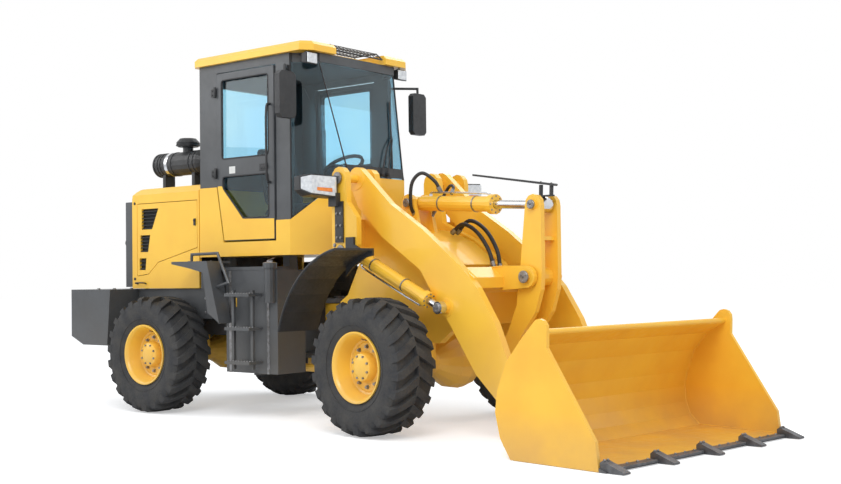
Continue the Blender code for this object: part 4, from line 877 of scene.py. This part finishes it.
makeHoodTrim(hoodSpec)
makeAirCleaner()
print("hood trim done")


# Tanks, steps, frame
def makeTankTrim():
    for side, sign in sides.items():
        face = sign * 0.84
        straps = [plate([(x, 0.398), (x + 0.03, 0.398), (x + 0.03, 1.30), (x, 1.30)],
                        *sorted((face, face + sign * 0.004))) for x in (-0.56, -0.08)]
        place(joinAll(straps), f"tankStraps{side.title()}", boltSteel, "rear_chassis", bevel=0.001)
        treads = []
        for z in (1.09, 0.795, 0.50):
            for k in range(9):
                x = -0.415 + k * 0.035
                treads.append(lathe([(z + 0.0135, 0.007), (z + 0.018, 0.005)], (x, sign * 0.96, 0), "z", 10))
                treads.append(lathe([(z + 0.0135, 0.007), (z + 0.018, 0.005)], (x, sign * 0.995, 0), "z", 10))
        place(joinAll(treads), f"stepStuds{side.title()}", boltSteel, "rear_chassis")
        capParts = [lathe([(1.364, 0.06), (1.368, 0.058), (1.372, 0.03), (1.372, 0)], (-0.02, sign * 0.86, 0),
                          "z", 32),
                    block((-0.055, 0.015), (sign * 0.855, sign * 0.865), (1.366, 1.385))]
        place(joinAll(capParts), f"fillerCap{side.title()}", boltSteel, "rear_chassis", bevel=0.002)
        place(plate(roundedLoop([(-0.52, 0.98), (-0.46, 0.98), (-0.46, 1.06), (-0.52, 1.06)], 0.008),
                    *sorted((face, face + sign * 0.0015))), f"tankBlankPlate{side.title()}", yellowPaint,
              "rear_chassis")
        boltSet(f"tankBolts{side.title()}", [(x, face + sign * 0.004, z) for x in (-0.545, -0.065)
                                             for z in (0.5, 1.2)],
                outAxis(sign), 0.009, 0.008, "rear_chassis", "rear")
        lip = [(-1.15, sign * 0.992, 1.385), (-0.70, sign * 0.992, 1.385), (-0.535, sign * 0.992, 0.845)]
        place(tubeAlong(lip, 0.0075, 8), f"rearFenderLip{side.title()}", hoseRubber, "rear_chassis")
        boltSet(f"rearFenderBolts{side.title()}", [(x, sign * y, 1.392) for x in (-1.08, -0.78)
                                                   for y in (0.76, 0.86)],
                "z", 0.008, 0.007, "rear_chassis", "rear")
        boltSet(f"frameBolts{side.title()}", [(x, sign * 0.66, z) for x in (-1.99, -1.93, -1.08, -1.03)
                                              for z in (0.92, 1.05)],
                outAxis(sign), 0.012, 0.010, "rear_chassis", "rear")
    shaft = joinAll([lathe([(-1.30, 0.05), (-1.27, 0.035), (-0.62, 0.035), (-0.58, 0.05)], (0, 0, 0.60), "x",
                           24),
                     lathe([(-0.58, 0.07), (-0.56, 0.075), (-0.50, 0.075), (-0.49, 0.06)], (0, 0, 0.60), "x",
                           24)])
    place(shaft, "rearDriveShaft", greyCasting, "rear_chassis")
    shaft = joinAll([lathe([(0.60, 0.05), (0.63, 0.035), (1.22, 0.035), (1.26, 0.055)], (0, 0, 0.585), "x",
                           24)])
    place(shaft, "frontDriveShaft", greyCasting, "front_chassis", "front")
    box = joinAll([block((-1.15, -0.62), (-0.24, 0.24), (0.56, 1.08)),
                   lathe([(-1.25, 0.16), (-1.22, 0.20), (-1.10, 0.20)], (0, 0, 0.86), "x", 32)])
    place(box, "gearbox", greyCasting, "rear_chassis", bevel=0.03)


def makeAxleTrim():
    for end, half, x, reach in (("rear", "rear", -axleX, 0.20), ("front", "front", axleX, 0.235)):
        body = f"{end}_chassis"
        ring = lathe([(x + 0.035, reach * 0.8), (x + 0.045, reach * 0.95), (x + 0.07, reach * 0.95),
                      (x + 0.08, reach * 0.8)],
                     (0, 0, axleZ), "x", 48)
        place(ring, f"{end}DiffRing", yellowPaint, body, half)
        boltSet(f"{end}DiffBolts", [(x + 0.079, math.sin(a) * reach * 0.86,
                                     axleZ + math.cos(a) * reach * 0.86)
                                    for a in (2 * math.pi * k / 12 for k in range(12))], "x", 0.008, 0.008,
                body, half)
        discs = []
        for sign in sides.values():
            discs.append(lathe([(sign * 0.655, 0.10), (sign * 0.657, 0.175), (sign * 0.667, 0.175),
                                (sign * 0.669, 0.10)],
                               (x, 0, axleZ), "y", 48))
        place(joinAll(discs), f"{end}BrakeDiscs", boltSteel, body, half)


makeTankTrim()
makeAxleTrim()
print("tanks and axles done")


# Front frame, boom and linkage
pinSpec = {"capThick": 0.012, "boltSize": 0.007}
boomPin, liftBase, liftEye, tiltBase = (0.88, 2.055), (0.90, 1.455), (1.93, 0.99), (1.06, 1.86)
crankTop, crankPin, crankFoot, linkEye, bucketPin = (2.47, 1.775), (2.43, 1.22), (2.15, 0.58), (2.70,
                                                                                                0.52), (2.79,
                                                                                                        0.24)


def pinCap(pin, y, sign, radius):
    # round keeper plate with three bolts and a grease nipple
    axis = outAxis(sign)
    parts = [lathe([(0, radius), (sign * pinSpec["capThick"], radius),
                    (sign * (pinSpec["capThick"] + 0.003), radius * 0.9),
                    (sign * (pinSpec["capThick"] + 0.003), 0)], (pin[0], y, pin[1]), "y", 32)]
    for k in range(3):
        a = math.radians(30 + 120 * k)
        parts.append(hexBolt((pin[0] + math.cos(a) * radius * 0.62, y + sign * (pinSpec["capThick"] + 0.002),
                              pin[1] + math.sin(a) * radius * 0.62), axis, pinSpec["boltSize"], 0.007))
    parts.append(lathe([(0, 0.005), (sign * 0.012, 0.004)], (pin[0], y + sign * (pinSpec["capThick"] + 0.003),
                                                             pin[1]), "y", 8))
    return joinAll(parts)


def makePins():
    # columns: name, pin, distance from the middle, radius, body
    for name, pin, y, radius, body in (("boomPinCap", boomPin, 0.731, 0.05, "front_chassis"),
                                       ("liftBaseCap", liftBase, 0.7205, 0.045, "front_chassis"),
                                       ("bucketPinCap", bucketPin, 0.596, 0.042, "bucket"),
                                       ("crankPinCap", crankPin, 0.186, 0.048, "boom"),
                                       ("crankTopCap", crankTop, 0.136, 0.036, "bellcrank"),
                                       ("crankFootCap", crankFoot, 0.131, 0.032, "bellcrank"),
                                       ("linkEyeCap", linkEye, 0.111, 0.034, "bucket"),
                                       ("tiltBaseCap", tiltBase, 0.121, 0.038, "front_chassis")):
        place(joinAll([pinCap(pin, sign * y, sign, radius) for sign in (-1, 1)]), name, boltSteel, body,
              "front", angle=25)
    for side, sign in sides.items():
        place(pinCap(liftEye, sign * 0.629, sign, 0.036), f"liftEyeCap{side.title()}", boltSteel,
              f"lift_rod_{side}", "front", angle=25)


def alongRam(base, eye, y, parts):
    # parts drawn along X from the base pin are turned onto the line from base to eye
    angle = math.atan2(eye[1] - base[1], eye[0] - base[0])
    bm = joinAll(parts)
    bm.transform(Matrix.Translation((base[0], y, base[1])) @ Matrix.Rotation(-angle, 4, "Y"))
    return bm


def makeRamTrim():
    rams = [("tilt", tiltBase, crankTop, 0.0, 0.064, 0.92, "tilt_barrel", 1)]
    rams += [(f"lift{side.title()}", liftBase, liftEye, sign * 0.60, 0.052, 1.0, f"lift_barrel_{side}", -1)
             for side, sign in sides.items()]
    for name, base, eye, y, radius, length, body, up in rams:
        z = up * (radius + 0.022)
        pipe = smoothPath([(0.16, 0, z - up * 0.03), (0.17, 0, z), (0.24, 0, z + up * 0.004),
                           (0.60, 0, z + up * 0.004), (length - 0.12, 0, z + up * 0.002),
                           (length - 0.06, 0, z - up * 0.01), (length - 0.045, 0, z - up * 0.03)], 5)
        fittings = [lathe([(z - up * 0.028, 0.016), (z - up * 0.008, 0.016)], (x, 0, 0), "z", 6)
                    for x in (0.165, length - 0.05)]
        place(alongRam(base, eye, y, [tubeAlong(pipe, 0.009, 10)] + fittings), f"{name}Pipe", brightSteel,
              body, "front")
        clamps = [lathe([(x, radius + 0.001), (x, radius + 0.004), (x + 0.012, radius + 0.004),
                         (x + 0.012, radius + 0.001)],
                        (0, 0, 0), "x", 32) for x in (0.30, 0.70)]
        place(alongRam(base, eye, y, clamps), f"{name}Clamps", boltSteel, body, "front")
        glandBolts = [hexBolt((length, math.sin(a) * radius * 1.02, math.cos(a) * radius * 1.02), "x", 0.006,
                              0.006)
                      for a in (2 * math.pi * k / 8 for k in range(8))]
        place(alongRam(base, eye, y, glandBolts), f"{name}GlandBolts", boltSteel, body, "front", angle=25)


def makeHoses():
    # columns: name, body, radius, points
    runs = [
        ("towerHoseLoop", "tilt_barrel", 0.015, [(1.12, -0.085, 1.74), (1.15, -0.16, 1.84),
                                                 (1.18, -0.17, 2.02), (1.25, -0.12, 2.10),
                                                 (1.33, -0.05, 2.03), (1.35, 0.0, 1.94)]),
        ("towerHoseShort", "tilt_barrel", 0.013, [(1.15, 0.09, 1.75), (1.20, 0.15, 1.88), (1.32, 0.13, 1.99),
                                                  (1.44, 0.06, 1.98), (1.48, 0.0, 1.92)]),
        ("coverHoseA", "front_chassis", 0.017, [(1.28, 0.20, 1.60), (1.40, 0.21, 1.67), (1.56, 0.21, 1.60),
                                                (1.70, 0.20, 1.45), (1.76, 0.20, 1.30)]),
        ("coverHoseB", "front_chassis", 0.017, [(1.28, 0.26, 1.60), (1.42, 0.27, 1.70), (1.60, 0.27, 1.62),
                                                (1.74, 0.26, 1.45), (1.78, 0.26, 1.28)]),
        ("pivotHoseA", "front_chassis", 0.018, [(0.80, -0.20, 1.50), (0.64, -0.21, 1.46), (0.55, -0.20, 1.25),
                                                (0.52, -0.19, 1.03)]),
        ("pivotHoseB", "front_chassis", 0.018, [(0.80, 0.20, 1.50), (0.64, 0.21, 1.46), (0.55, 0.20, 1.25),
                                                (0.52, 0.19, 1.03)]),
    ]
    for name, body, radius, points in runs:
        path = smoothPath(points, 7)
        place(tubeAlong(path, radius, 14), name, hoseRubber, body, "front")
        ends = []
        for a, b in ((path[0], path[1]), (path[-1], path[-2])):
            away = (b - a).normalized() * 0.05
            ends.append(tubeAlong([a - away * 0.1, a + away], radius * 1.3, 6))
        place(joinAll(ends), name + "Fittings", boltSteel, body, "front")


def makeFrontTrim():
    for side, sign in sides.items():
        axis = outAxis(sign)
        face = sign * 0.72
        boltSet(f"towerBolts{side.title()}", [(x, sign * 0.7348, z) for x in (0.865, 0.915)
                                              for z in (1.56, 1.66, 1.76)], axis,
                0.010, 0.009, "front_chassis", "front")
        boltSet(f"towerPlateBolt{side.title()}", [(0.82, face, 1.50)], axis, 0.014, 0.012, "front_chassis",
                "front")
        # headlamp glass, its tapered end and its amber strip
        lens = plate([(sign * 0.757, 1.902), (sign * 1.0, 1.921), (sign * 1.0, 2.069), (sign * 0.757, 2.062)],
                     0.0, 0.007, "yz")
        for v in lens.verts:
            v.co.x += 0.8885 - (abs(v.co.y) - 0.745) * 0.079
        taper = plate([(sign * 1.0, 1.921), (sign * 1.062, 1.958), (sign * 1.062, 2.052),
                       (sign * 1.0, 2.069)], 0.0, 0.006, "yz")
        for v in taper.verts:
            v.co.x += 0.8685 - (abs(v.co.y) - 1.0)
        place(joinAll([lens, taper]), f"headlampLens{side.title()}", lampLens, "front_chassis", "front",
              bevel=0.003)
        amber = plate([(sign * 0.80, 1.935), (sign * 0.95, 1.945), (sign * 0.95, 1.972),
                       (sign * 0.80, 1.968)], 0.0, 0.004, "yz")
        for v in amber.verts:
            v.co.x += 0.8952 - (abs(v.co.y) - 0.745) * 0.079
        place(amber, f"headlampAmber{side.title()}", amberLens, "front_chassis", "front", bevel=0.002)
        # fender: beaded edge, bolts
        edge = [(x, sign * 1.131, z) for x, z in arcPoints((axleX, axleZ), fenderRadius - 0.008, 164, 100,
                                                           20)]
        place(tubeAlong(edge, 0.009, 8), f"frontFenderBead{side.title()}", blackPlastic, "front_chassis",
              "front")
        bolts = []
        for turn in (104, 112, 120):
            a = math.radians(turn)
            bolts.append((axleX + fenderRadius * math.cos(a), sign * 0.78,
                          axleZ + fenderRadius * math.sin(a)))
            bolts.append((axleX + fenderRadius * math.cos(a), sign * 0.86,
                          axleZ + fenderRadius * math.sin(a)))
        boltSet(f"frontFenderBolts{side.title()}", bolts, "z", 0.010, 0.009, "front_chassis", "front")
        boltSet(f"axlePadBolts{side.title()}", [(x, sign * y, 0.68) for x in (1.40, 1.55)
                                                for y in (0.34, 0.40)], "z", 0.014,
                0.05, "front_chassis", "front")
    valve = joinAll([block((0.84, 1.00), (-0.22, 0.22), (1.45, 1.60))]
                    + [lathe([(1.59, 0.022), (1.64, 0.022), (1.65, 0.015)], (0.92, y, 0), "z", 20)
                       for y in (-0.14, -0.05, 0.05, 0.14)])
    place(valve, "valveBlock", greyCasting, "front_chassis", "front", bevel=0.008)
    boltSet("coverBolts", [(x, y, z) for x, z in ((1.20, 1.604), (1.66, 1.358)) for y in (-0.31, 0.31)], "z",
            0.010, 0.012, "front_chassis", "front")


def weldBead(points, radius=0.006):
    # a rippled bead: every other point along the run is lifted a little
    points = [Vector(p) for p in points]
    path = []
    for a, b in zip(points, points[1:]):
        count = max(2, int((b - a).length / 0.012))
        path += [a + (b - a) * k / count for k in range(count)]
    path.append(points[-1])
    return tubeAlong([p + Vector((0, 0, radius * 0.25 * (k % 2))) for k, p in enumerate(path)], radius, 6)


def makeBucketTrim():
    half = bucketHalfWidth
    teeth = [-half + 0.046 + k * (2 * half - 0.092) / 4 for k in range(5)]
    bolts, segments = [], []
    for a, b in zip(teeth, teeth[1:]):
        low, high = a + 0.045, b - 0.045
        segment = plate([(low, 3.842), (high, 3.842), (high, 3.905), (high - 0.02, 3.922),
                         (low + 0.02, 3.922), (low, 3.905)],
                        0.0135, 0.030, "xy")
        segment.transform(Matrix(((0, 1, 0, 0), (1, 0, 0, 0), (0, 0, 1, 0), (0, 0, 0, 1))))
        bmesh.ops.recalc_face_normals(segment, faces=segment.faces)
        segments.append(segment)
        for k in range(4):
            bolts.append((3.868, low + (high - low) * (k + 0.5) / 4, 0.030))
    place(joinAll(segments), "edgeSegments", wearSteel, "bucket", "front", bevel=0.003)
    for y in teeth:
        bolts += [(3.865, y - 0.017, 0.074), (3.865, y + 0.017, 0.074)]
    boltSet("edgeBolts", bolts, "z", 0.009, 0.010, "bucket", "front")
    shell = [(3.80, 0.027), (3.14, 0.037), (3.055, 0.112), (3.015, 0.212), (3.007, 0.33), (3.031, 0.45),
             (3.106, 0.625), (3.22, 0.764), (3.37, 0.842)]
    beads = [weldBead([(x, sign * (half - 0.031), z) for x, z in shell], 0.005) for sign in (-1, 1)]
    place(joinAll(beads), "bucketWelds", bucketPaint, "bucket", "front")
    # round bar along the top edge, and ribs across the back
    bar = lathe([(-half + 0.03, 0.020), (half - 0.03, 0.020)], (3.372, 0, 0.862), "y", 20)
    place(bar, "bucketTopBar", bucketPaint, "bucket", "front")
    ribs = []
    for y in (-0.86, -0.28, 0.28, 0.86):
        ribs.append(plate([(2.976, 0.33), (3.0, 0.46), (3.08, 0.645), (3.20, 0.79), (3.16, 0.80),
                           (3.03, 0.66), (2.95, 0.47), (2.935, 0.33), (2.945, 0.18),
                           (2.987, 0.19)], y - 0.008, y + 0.008))
    place(joinAll(ribs), "bucketBackRibs", bucketPaint, "bucket", "front", bevel=0.002)


def makeBoomTrim():
    beads = []
    for sign in (-1, 1):
        tubeEnd = [(1.98, 1.142), (2.10, 1.102), (2.20, 1.142), (2.20, 1.22), (2.08, 1.30), (1.98, 1.30),
                   (1.98, 1.142)]
        beads.append(weldBead([(x, sign * 0.47, z) for x, z in tubeEnd], 0.006))
        for y in (sign * 0.127, sign * 0.166):
            beads.append(weldBead([(2.03, y, 1.13), (2.19, y, 1.125)], 0.005))
            beads.append(weldBead([(2.19, y, 1.305), (2.04, y, 1.295)], 0.005))
    place(joinAll(beads), "boomWelds", yellowPaint, "boom", "front")
    pads = []
    for sign in (-1, 1):
        pads.append(lathe([(sign * 0.528, 0.075), (sign * 0.534, 0.073)], (liftEye[0], 0, liftEye[1]), "y",
                          32))
        pads.append(lathe([(sign * 0.528, 0.095), (sign * 0.535, 0.092)], (boomPin[0], 0, boomPin[1]), "y",
                          40))
        pads.append(lathe([(sign * 0.528, 0.078), (sign * 0.534, 0.075)], (bucketPin[0], 0, bucketPin[1]),
                          "y", 32))
    place(joinAll(pads), "boomBosses", yellowPaint, "boom", "front")
    boltSet("indicatorBolts", [(x, 0.0, z) for x, z in ((2.455, 1.951), (2.56, 1.935))], "z", 0.007, 0.008,
            "tilt_rod", "front")


makePins()
makeRamTrim()
makeHoses()
makeFrontTrim()
makeBucketTrim()
makeBoomTrim()
print("front end done")
